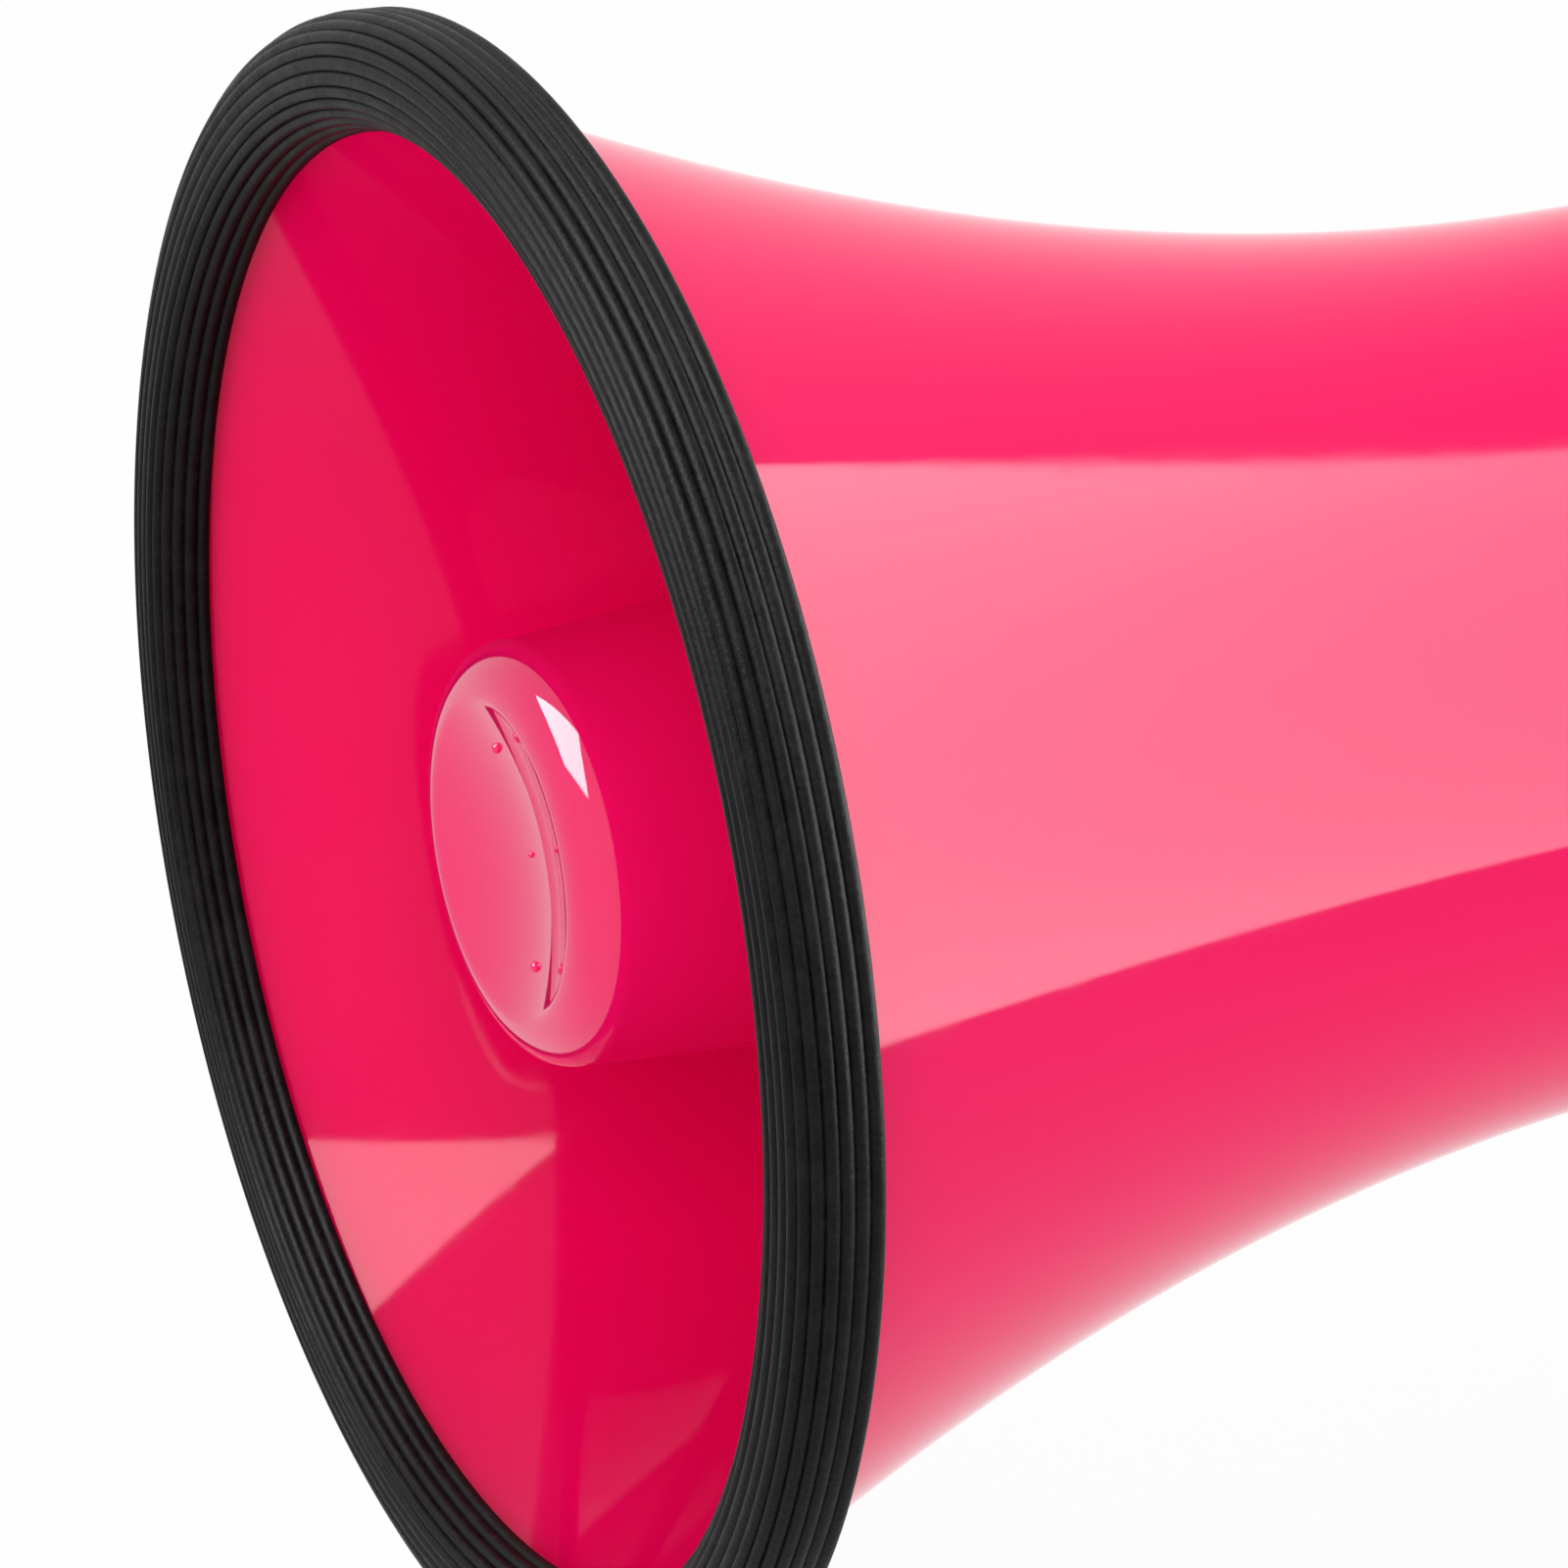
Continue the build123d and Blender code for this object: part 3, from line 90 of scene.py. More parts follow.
# ---- shader maths --------------------------------------------------------------------------------
class Sock:
    """An output socket in a material, with arithmetic that adds Math nodes."""

    def __init__(self, tree: "Shader", socket: bpy.types.NodeSocket) -> None:
        """Wraps one output socket of a tree."""
        self.tree = tree
        self.socket = socket

    def _math(self, operation: str, *values: Any) -> "Sock":
        """A Math node of that operation on the values."""
        return self.tree.add("ShaderNodeMath", {"operation": operation}, dict(enumerate(values)))

    def __add__(self, other: Any) -> "Sock":
        """Sum."""
        return self._math("ADD", self, other)

    def __mul__(self, other: Any) -> "Sock":
        """Product."""
        return self._math("MULTIPLY", self, other)


    def clipped(self, low: float, high: float) -> "Sock":
        """A smooth 0 to 1 as the value goes from low to high."""
        return self.tree.add("ShaderNodeMapRange", {"interpolation_type": "SMOOTHSTEP"},
                             {"Value": self, "From Min": low, "From Max": high})


class Shader:
    """One procedural material: a Principled shader and the nodes that feed it."""

    def __init__(self, name: str) -> None:
        """Starts an empty material with an output and a Principled shader."""
        self.material = bpy.data.materials.new(name)
        self.material.use_nodes = True
        self.nodes = self.material.node_tree.nodes
        self.links = self.material.node_tree.links
        self.nodes.clear()
        self.output = self.nodes.new("ShaderNodeOutputMaterial")
        self.body = self.nodes.new("ShaderNodeBsdfPrincipled")
        self.links.new(self.body.outputs["BSDF"], self.output.inputs["Surface"])

    def feed(self, socket: bpy.types.NodeSocket, value: Any) -> None:
        """Links a Sock to an input, or sets the input to a constant.

        Args:
            socket: the input to fill.
            value: a Sock, a number, a colour or a vector.
        """
        if isinstance(value, Sock):
            self.links.new(value.socket, socket)
        elif isinstance(value, (tuple, list)) and socket.type == "RGBA":
            socket.default_value = (*value[:3], 1.0)
        else:
            socket.default_value = value

    def add(self, kind: str, settings: dict[str, Any] | None = None,
            inputs: dict[Any, Any] | None = None, output: Any = 0) -> Sock:
        """Adds any node.

        Args:
            kind: the node's type.
            settings: its properties, set first.
            inputs: values or links, by socket name or number.
            output: name or number of the output to return.

        Returns:
            The chosen output as a Sock.
        """
        node = self.nodes.new(kind)
        for key, value in (settings or {}).items():
            setattr(node, key, value)
        for key, value in (inputs or {}).items():
            self.feed(node.inputs[key], value)
        return Sock(self, node.outputs[output])

    def place(self) -> Sock:
        """Object coordinates in metres."""
        return self.add("ShaderNodeTexCoord", output="Object")

    def stretched(self, scale: tuple[float, float, float]) -> Sock:
        """Object coordinates, scaled on each axis."""
        return self.add("ShaderNodeMapping", inputs={"Vector": self.place(), "Scale": scale})

    def noise(self, scale: float, detail: float = 2.0, rough: float = 0.5,
              vector: Sock | None = None) -> Sock:
        """Noise from 0 to 1 with that many features to the metre."""
        return self.add("ShaderNodeTexNoise", inputs={
            "Vector": vector or self.place(), "Scale": scale, "Detail": detail, "Roughness": rough})

    def cells(self, scale: float) -> Sock:
        """Distance to the nearest cell centre."""
        return self.add("ShaderNodeTexVoronoi", inputs={
            "Vector": self.place(), "Scale": scale}, output="Distance")

    def blend(self, share: Any, low: Any, high: Any) -> Sock:
        """A colour between low and high."""
        return self.add("ShaderNodeMix", {"data_type": "RGBA"},
                        {0: share, 6: low, 7: high}, output=2)

    def relief(self, height: Sock, depth: float, strength: float = 1.0) -> None:
        """Feeds the normal from a height of that depth in metres."""
        bump = self.add("ShaderNodeBump", inputs={
            "Height": height, "Distance": depth, "Strength": strength})
        self.feed(self.body.inputs["Normal"], bump)

    def set(self, **values: Any) -> None:
        """Fills inputs of the Principled shader; underscores stand for spaces."""
        for key, value in values.items():
            self.feed(self.body.inputs[key.replace("_", " ")], value)


# ---- finishes ------------------------------------------------------------------------------------
@dataclass(frozen=True)
class GlossPlastic:
    """Polished injection-moulded plastic: deep colour, faint flow and hair scratches."""

    name: str
    colour: Colour
    deep: Colour
    roughness: float = 0.07
    ior: float = 1.36
    coat: float = 0.0

    def build(self) -> bpy.types.Material:
        """Makes the material."""
        s = Shader(self.name)
        flow = s.noise(14.0, 3.0)
        speck = s.noise(2600.0, 1.0)
        s.set(Base_Color=s.blend((flow * 0.7 + speck * 0.3).clipped(0.2, 0.85),
                                 self.colour, self.deep),
              IOR=self.ior, Coat_Weight=self.coat, Coat_Roughness=0.03)
        scratch = s.noise(90.0, 4.0, 0.7, s.stretched((0.4, 5.0, 5.0)))
        s.set(Roughness=scratch.clipped(0.45, 0.8) * 0.06 + self.roughness)
        s.relief(s.noise(60.0, 1.0) + speck * 0.004, 0.000005)
        return s.material


@dataclass(frozen=True)
class GrainPlastic:
    """Spark-eroded grain, as on handles and panels."""

    name: str
    colour: Colour
    light: Colour
    roughness: float = 0.5
    grain: float = 1500.0
    depth: float = 0.00009

    def build(self) -> bpy.types.Material:
        """Makes the material."""
        s = Shader(self.name)
        pebbles = s.cells(self.grain)
        wear = s.noise(38.0, 4.0, 0.6)
        s.set(Base_Color=s.blend((wear * 0.75 + pebbles * 0.45).clipped(0.35, 0.95),
                                 self.colour, self.light),
              Roughness=wear.clipped(0.3, 0.8) * 0.14 + self.roughness)
        s.relief(pebbles + s.noise(self.grain * 0.6, 2.0) * 0.6, self.depth)
        return s.material


@dataclass(frozen=True)
class Rubber:
    """Matte moulded rubber with a powdery bloom and fine pores."""

    name: str
    colour: Colour
    bloom: Colour
    roughness: float = 0.52
    pores: float = 1700.0
    shine: float = 0.22

    def build(self) -> bpy.types.Material:
        """Makes the material."""
        s = Shader(self.name)
        bloom = s.noise(260.0, 5.0, 0.65)
        pore = s.noise(self.pores, 3.0, 0.6)
        s.set(Base_Color=s.blend((bloom * 0.6 + pore * 0.5).clipped(0.38, 0.8),
                                 self.colour, self.bloom),
              Roughness=bloom.clipped(0.3, 0.75) * 0.16 + self.roughness,
              Specular_IOR_Level=self.shine)
        s.relief(pore + bloom * 0.5, 0.00012, 0.8)
        return s.material


@dataclass(frozen=True)
class Metal:
    """Plated or rolled metal with drawn lines and dull patches."""

    name: str
    colour: Colour
    roughness: float = 0.28
    lines: tuple[float, float, float] = (1.0, 14.0, 14.0)

    def build(self) -> bpy.types.Material:
        """Makes the material."""
        s = Shader(self.name)
        drawn = s.noise(160.0, 4.0, 0.6, s.stretched(self.lines))
        dull = s.noise(60.0, 3.0)
        dark = tuple(c * 0.72 for c in self.colour)
        s.set(Base_Color=s.blend((drawn * 0.5 + dull * 0.5).clipped(0.3, 0.75), self.colour, dark),
              Metallic=1.0, Roughness=drawn.clipped(0.25, 0.8) * 0.2 + self.roughness)
        s.relief(drawn, 0.00002)
        return s.material


@dataclass(frozen=True)
class Foam:
    """Open-cell foam: pores painted dark as painted shade, between pale threads."""

    name: str
    colour: Colour
    light: Colour

    def build(self) -> bpy.types.Material:
        """Makes the material."""
        s = Shader(self.name)
        # the cell centres, which the relief below sinks, are painted dark as painted shade in the
        # pores
        pores = s.cells(900.0)
        s.set(Base_Color=s.blend(pores.clipped(0.1, 0.7), self.colour, self.light), Roughness=0.95,
              Sheen_Weight=0.3)
        s.relief(pores + s.noise(2200.0) * 0.4, 0.0006)
        return s.material


@dataclass(frozen=True)
class Board:
    """Circuit board: solder mask over tracks, with tinned pads."""

    name: str
    mask: Colour
    track: Colour

    def build(self) -> bpy.types.Material:
        """Makes the material."""
        s = Shader(self.name)
        squares = s.add("ShaderNodeTexBrick", {"offset": 0.35}, {
            "Vector": s.stretched((1.0, 160.0, 160.0)), "Scale": 1.0, "Mortar Size": 0.05,
            "Color1": (0, 0, 0), "Color2": (0.25, 0.25, 0.25), "Mortar": (1, 1, 1)}, output="Fac")
        s.set(Base_Color=s.blend(squares, self.mask, self.track),
              Roughness=s.noise(300.0).clipped(0.2, 0.8) * 0.2 + 0.25)
        s.relief(squares, 0.00006)
        return s.material


@dataclass(frozen=True)
class Lens:
    """A diffusing lamp lens."""

    name: str
    colour: Colour

    def build(self) -> bpy.types.Material:
        """Makes the material."""
        s = Shader(self.name)
        rings = s.noise(700.0, 2.0)
        pale = tuple(min(1.0, c + 0.12) for c in self.colour)
        s.set(Base_Color=s.blend(rings, self.colour, pale),
              Roughness=rings * 0.1 + 0.12, Transmission_Weight=0.35, IOR=1.5)
        s.relief(rings, 0.00005)
        return s.material


class Finish(Enum):
    """Every finish on the megaphone."""

    PINK = GlossPlastic("hot_pink_gloss", (0.93, 0.001, 0.122), (0.90, 0.001, 0.112), 0.05, 1.22)
    CUP = GlossPlastic("hot_pink_polished", (0.94, 0.004, 0.150), (0.92, 0.003, 0.140),
                       0.04, 1.5, 0.2)
    RIM = Rubber("rim_rubber", (0.0024, 0.0022, 0.0026), (0.010, 0.0085, 0.0095),
                 0.40, 1700.0, 0.10)
    CHARCOAL = GrainPlastic("charcoal_grain", (0.016, 0.016, 0.018), (0.034, 0.034, 0.037))
    GRIP = GrainPlastic("grip_grain", (0.013, 0.013, 0.014), (0.028, 0.028, 0.030),
                        0.56, 1150.0, 0.00014)
    KNOB = GrainPlastic("knob_satin", (0.010, 0.010, 0.011), (0.020, 0.020, 0.022),
                        0.38, 2600.0, 0.00004)
    RED = GlossPlastic("button_red", (0.56, 0.009, 0.012), (0.48, 0.007, 0.010), 0.16, 1.46)
    GRILLE = GrainPlastic("grille_coating", (0.012, 0.012, 0.013), (0.024, 0.024, 0.026), 0.42,
                          3000.0, 0.00003)
    # foam: the first colour is painted shade in the pores, the second the pale threads
    FOAM = Foam("microphone_foam", (0.004, 0.004, 0.004), (0.030, 0.030, 0.032))
    ZINC = Metal("zinc_plate", (0.62, 0.61, 0.58), 0.26)
    PLATE = Metal("passivated_plate", (0.50, 0.50, 0.52), 0.34)
    FERRITE = GrainPlastic("ferrite", (0.020, 0.020, 0.022), (0.045, 0.045, 0.048),
                           0.6, 900.0, 0.0001)
    COPPER = Metal("coil_copper", (0.78, 0.34, 0.16), 0.3, (60.0, 1.0, 1.0))
    FILM = GlossPlastic("diaphragm_film", (0.42, 0.27, 0.12), (0.36, 0.22, 0.09), 0.3)
    GASKET = Rubber("gasket_rubber", (0.014, 0.014, 0.014), (0.030, 0.030, 0.030), 0.7)
    BOARD = Board("circuit_board", (0.008, 0.11, 0.035), (0.03, 0.22, 0.08))
    EPOXY = GrainPlastic("black_epoxy", (0.010, 0.010, 0.011), (0.022, 0.022, 0.024),
                         0.4, 2400.0, 0.00004)
    ALUMINIUM = Metal("plain_aluminium", (0.76, 0.76, 0.78), 0.3)
    CELL = GlossPlastic("cell_sleeve", (0.05, 0.07, 0.20), (0.04, 0.055, 0.16), 0.25)
    TRAY = GrainPlastic("tray_grey", (0.07, 0.07, 0.075), (0.11, 0.11, 0.115), 0.48)
    LAMP = Lens("lamp_green", (0.04, 0.62, 0.10))
    NICKEL = Metal("nickel_plate", (0.68, 0.64, 0.56), 0.22)
    MARK = GrainPlastic("scale_white", (0.62, 0.62, 0.60), (0.70, 0.70, 0.68), 0.5, 2600.0, 0.00003)
    LEAD = Rubber("lead_insulation", (0.42, 0.012, 0.012), (0.52, 0.02, 0.02), 0.4)


NODE_FINISH: dict[Finish, str] = {
    Finish.PINK: "bell_shell reflector_cup throat_horn rear_housing",
    Finish.RIM: "rim_bumper",
    Finish.CHARCOAL: "rear_cover mic_holder mode_switch",
    Finish.GRIP: "grip_left grip_right",
    Finish.KNOB: "volume_knob mode_slider talk_plunger talk_switch siren_switch",
    Finish.RED: "trigger siren_button",
    Finish.GRILLE: "mic_grille",
    Finish.FOAM: "mic_foam",
    Finish.ZINC: "cup_screws throat_screws housing_screws driver_screws board_screws grip_screws "
                 "grip_mount_screws panel_screws cover_hinge_pin trigger_pin volume_shaft "
                 "strap_eye trigger_spring",
    Finish.PLATE: "top_plate pole_yoke output_transformer",
    Finish.FERRITE: "magnet_ring",
    Finish.COPPER: "voice_coil",
    Finish.FILM: "diaphragm",
    Finish.GASKET: "driver_gasket cover_seal",
    Finish.BOARD: "amplifier_board control_board",
    Finish.EPOXY: "capacitors chips aux_jack phase_plug driver_front volume_pot",
    Finish.ALUMINIUM: "heat_sink mic_capsule",
    Finish.CELL: "battery_cells",
    Finish.TRAY: "battery_tray battery_lid",
    Finish.LAMP: "power_lamp",
    Finish.NICKEL: "front_contacts rear_contacts driver_terminals",
    Finish.LEAD: "driver_leads",
}


@dataclass
class Wardrobe:
    """The materials made so far, one for each finish."""

    made: dict[Finish, bpy.types.Material] = field(default_factory=dict)

    def get(self, finish: Finish) -> bpy.types.Material:
        """The material of a finish, made once."""
        if finish not in self.made:
            self.made[finish] = finish.value.build()
        return self.made[finish]

    def dress(self, piece: bpy.types.Object, finish: Finish) -> None:
        """Gives a piece one finish all over."""
        piece.data.materials.clear()
        piece.data.materials.append(self.get(finish))


# ---- modelling helpers ---------------------------------------------------------------------------
def deselect() -> None:
    """Leaves edit mode and selects nothing."""
    if bpy.context.object and bpy.context.object.mode != "OBJECT":
        bpy.ops.object.mode_set(mode="OBJECT")
    bpy.ops.object.select_all(action="DESELECT")


def name_piece(name: str) -> bpy.types.Object:
    """Names the active object and its mesh.

    Args:
        name: the piece's name.

    Returns:
        The object.
    """
    piece = bpy.context.object
    piece.name = name
    piece.data.name = name
    return piece


def settle(piece: bpy.types.Object, angle: float = 35.0) -> None:
    """Applies a piece's place and smooths its faces up to that angle."""
    deselect()
    piece.select_set(True)
    bpy.context.view_layer.objects.active = piece
    bpy.ops.object.transform_apply(location=True, rotation=True, scale=True)
    bpy.ops.object.shade_smooth_by_angle(angle=math.radians(angle))
    deselect()


def lathe(name: str, outline: Sequence[tuple[float, float]], steps: int = 192,
          angle: float = 35.0) -> bpy.types.Object:
    """Spins a closed outline about the horn's axis.

    Args:
        name: the piece's name.
        outline: (x, radius) corners of the closed section.
        steps: how many slices go round.
        angle: edges sharper than this many degrees stay sharp.

    Returns:
        The closed ring.
    """
    deselect()
    bpy.ops.mesh.primitive_circle_add(vertices=len(outline), radius=MM)
    piece = name_piece(name)
    for vertex, (x, r) in zip(piece.data.vertices, outline):
        vertex.co = (x, 0.0, r)
    bpy.ops.object.mode_set(mode="EDIT")
    bpy.ops.mesh.select_all(action="SELECT")
    bpy.ops.mesh.spin(steps=steps, angle=2 * math.pi, center=(0, 0, 0), axis=(1, 0, 0))
    bpy.ops.mesh.select_all(action="SELECT")
    bpy.ops.mesh.remove_doubles(threshold=1e-6)
    bpy.ops.mesh.normals_make_consistent(inside=False)
    bpy.ops.object.mode_set(mode="OBJECT")
    settle(piece, angle)
    return piece


def smooth_copy(node: bpy.types.Object, angle: float) -> bpy.types.Object:
    """A welded and smoothed copy of a CAD node.

    Args:
        node: the CAD node's object.
        angle: edges sharper than this many degrees stay sharp.

    Returns:
        The copy, with its place in its mesh.
    """
    deselect()
    copy = node.copy()
    copy.data = node.data.copy()
    copy.name = copy.data.name = node.name + "_smooth"
    copy.parent = None
    copy.matrix_world = Matrix.Identity(4)
    copy.hide_render = False
    bpy.context.scene.collection.objects.link(copy)
    bpy.context.view_layer.objects.active = copy
    copy.select_set(True)
    bpy.ops.object.mode_set(mode="EDIT")
    bpy.ops.mesh.select_all(action="SELECT")
    bpy.ops.mesh.remove_doubles(threshold=2e-6)
    bpy.ops.object.mode_set(mode="OBJECT")
    settle(copy, angle)
    copy.select_set(True)
    bpy.context.view_layer.objects.active = copy
    even = copy.modifiers.new("even", "WEIGHTED_NORMAL")
    even.keep_sharp = True
    bpy.ops.object.modifier_apply(modifier=even.name)
    deselect()
    return copy


def parabola(a: tuple[float, float], b: tuple[float, float], vertex: int,
             count: int) -> list[tuple[float, float]]:
    """Points of a parabola between two ends, flat at one of them.

    Args:
        a: x and radius of the first end.
        b: x and radius of the second end.
        vertex: 0 where the curve is flat at a, 1 where it is flat at b.
        count: how many spans.

    Returns:
        The points, both ends included.
    """
    points = []
    for i in range(count + 1):
        t = i / count
        share = t * t if vertex == 0 else 1 - (1 - t) ** 2
        points.append((a[0] + (b[0] - a[0]) * t, a[1] + (b[1] - a[1]) * share))
    return points


def carve(piece: bpy.types.Object, tools: Iterable[bpy.types.Object]) -> None:
    """Cuts each tool out of a piece and removes the tools."""
    for tool in tools:
        deselect()
        bpy.context.view_layer.objects.active = piece
        piece.select_set(True)
        knife = piece.modifiers.new("cut", "BOOLEAN")
        knife.operation, knife.object, knife.solver = "DIFFERENCE", tool, "EXACT"
        bpy.ops.object.modifier_apply(modifier=knife.name)
        bpy.data.objects.remove(tool)


def drill(radius: float, length: float, place: Sequence[float],
          turn: Sequence[float]) -> bpy.types.Object:
    """A drill: a cylinder of that size, centred on a place and turned."""
    deselect()
    bpy.ops.mesh.primitive_cylinder_add(vertices=32, radius=radius, depth=length,
                                        location=place, rotation=turn)
    return name_piece("drill")


def report(piece: bpy.types.Object, body: str) -> None:
    """Says in the log what was made and what it rides on."""
    LOG.info("%s: %d faces, rides on %s", piece.name, len(piece.data.polygons), body)


# ---- sub-assemblies ------------------------------------------------------------------------------
@dataclass
class RubberRim:
    """The ribbed rubber guard round the bell's mouth."""

    wardrobe: Wardrobe
    edge: float = 5.0 * MM
    band: float = 14.2 * MM
    back_step: float = 1.9 * MM
    ribs: int = 15
    groove: float = 0.5 * MM
    crown: float = 0.6
    face_width: float = 3.2 * MM
    back_depths: tuple[float, float, float, float] = (9.8 * MM, 8.4 * MM, 5.4 * MM, 8.2 * MM)
    points_a_rib: int = 8
    body: str = "horn_body"

    def spine(self, share: float) -> tuple[float, float, float, float]:
        """A place on the rim's visible section.

        Args:
            share: 0 at the outer rear edge, 1 at the inner rear edge.

        Returns:
            x, radius, and the outward direction's x and radius parts.
        """
        low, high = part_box("rim_bumper")
        depth, outer = high.x, high.z
        flat = outer - self.edge
        inner_low = outer - self.band
        inner_r = self.band - self.edge - self.face_width
        spans = [depth - self.edge, self.edge * math.pi / 2, self.face_width,
                 0.5 * math.pi * (inner_r + depth - self.back_step) / 2]
        along = share * sum(spans)
        if along < spans[0]:
            return depth - along, outer, 0.0, 1.0
        along -= spans[0]
        if along < spans[1]:
            a = along / self.edge
            return (self.edge * (1 - math.sin(a)), flat + self.edge * math.cos(a),
                    -math.sin(a), math.cos(a))
        along -= spans[1]
        if along < spans[2]:
            return 0.0, flat - along, -1.0, 0.0
        a = (along - spans[2]) / spans[3] * math.pi / 2
        width = depth - self.back_step
        x = width * (1 - math.cos(a))
        r = inner_low + inner_r * (1 - math.sin(a))
        return x, r, -math.cos(a), -math.sin(a)

    def outline(self) -> list[tuple[float, float]]:
        """The section: ribs outside, and a plain back that hugs the bell's lip."""
        count = self.ribs * self.points_a_rib
        points = []
        for i in range(count + 1):
            share = i / count
            x, r, nx, nr = self.spine(share)
            wave = abs(math.sin(math.pi * i / self.points_a_rib))
            sink = self.groove * (1 - wave ** self.crown)
            points.append((x - nx * sink, r - nr * sink))
        low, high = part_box("rim_bumper")
        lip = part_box("bell_shell")[0].x
        back = (high.x - self.back_step, lip, lip, high.x)
        return points + [(x, high.z - depth) for x, depth in zip(back, self.back_depths)]

    def build(self) -> None:
        """Spins the ribbed section and puts it in the CAD rim's place."""
        rim = lathe("rim_ribbed", self.outline(), 224, 80.0)
        self.wardrobe.dress(rim, Finish.RIM)
        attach(rim, self.body)
        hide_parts("rim_bumper")
        report(rim, self.body)


@dataclass
class Bell:
    """The flared bell: two parabolas that meet at the waist, and the ledge inside them."""

    wardrobe: Wardrobe
    waist_x: float = 168.0 * MM
    waist_r: float = 60.5 * MM
    rise: float = 1.9 * MM
    wall: float = 2.8 * MM
    ledge_x: float = 173.0 * MM
    ledge_t: float = 3.0 * MM
    ledge_depth: float = 9.0 * MM
    screw_back: float = 5.0 * MM
    screw_angles: tuple[float, ...] = (50.0, 180.0, 310.0)
    head_r: float = 3.0 * MM
    head_t: float = 2.0 * MM
    shank_r: float = 1.7 * MM
    shank_length: float = 16.0 * MM
    head_length: float = 8.0 * MM
    body: str = "horn_body"

    def profile(self, inset: float) -> list[tuple[float, float]]:
        """The wall's line from the lip to the seam, moved in by inset."""
        low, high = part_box("bell_shell")
        lip = (low.x, high.z - inset)
        waist = (self.waist_x, self.waist_r - inset)
        seam = (high.x, self.waist_r + self.rise - inset)
        return parabola(lip, waist, 1, 72) + parabola(waist, seam, 0, 16)[1:]

    def section(self) -> list[tuple[float, float]]:
        """The closed section with its ledge."""
        inner = self.profile(self.wall)
        foot = self.waist_r - self.wall - self.ledge_depth
        back = self.ledge_x + self.ledge_t
        behind = [p for p in inner if p[0] > back + MM]
        ahead = [p for p in inner if p[0] < self.ledge_x - MM]
        wall_r = self.waist_r - self.wall
        ledge = [(back, wall_r), (back, foot), (self.ledge_x, foot), (self.ledge_x, wall_r)]
        return self.profile(0.0) + behind[::-1] + ledge + ahead[::-1]

    def drills(self) -> Iterable[bpy.types.Object]:
        """The housing screws' holes and counterbores."""
        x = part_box("bell_shell")[1].x - self.screw_back
        share = (x - self.waist_x) / (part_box("bell_shell")[1].x - self.waist_x)
        surface = self.waist_r + self.rise * share ** 2
        for angle in self.screw_angles:
            a = math.radians(angle)
            way = Vector((0.0, -math.sin(a), math.cos(a)))
            spot = Vector((x, 0.0, 0.0))
            head = surface - self.head_t + self.head_length / 2
            yield drill(self.shank_r, self.shank_length, spot + way * surface, (a, 0.0, 0.0))
            yield drill(self.head_r, self.head_length, spot + way * head, (a, 0.0, 0.0))

    def build(self) -> None:
        """Spins the bell, drills it and puts it in the CAD bell's place."""
        bell = lathe("bell_flare", self.section(), 256, 30.0)
        carve(bell, self.drills())
        settle(bell, 30.0)
        self.wardrobe.dress(bell, Finish.PINK)
        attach(bell, self.body)
        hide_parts("bell_shell")
        report(bell, self.body)


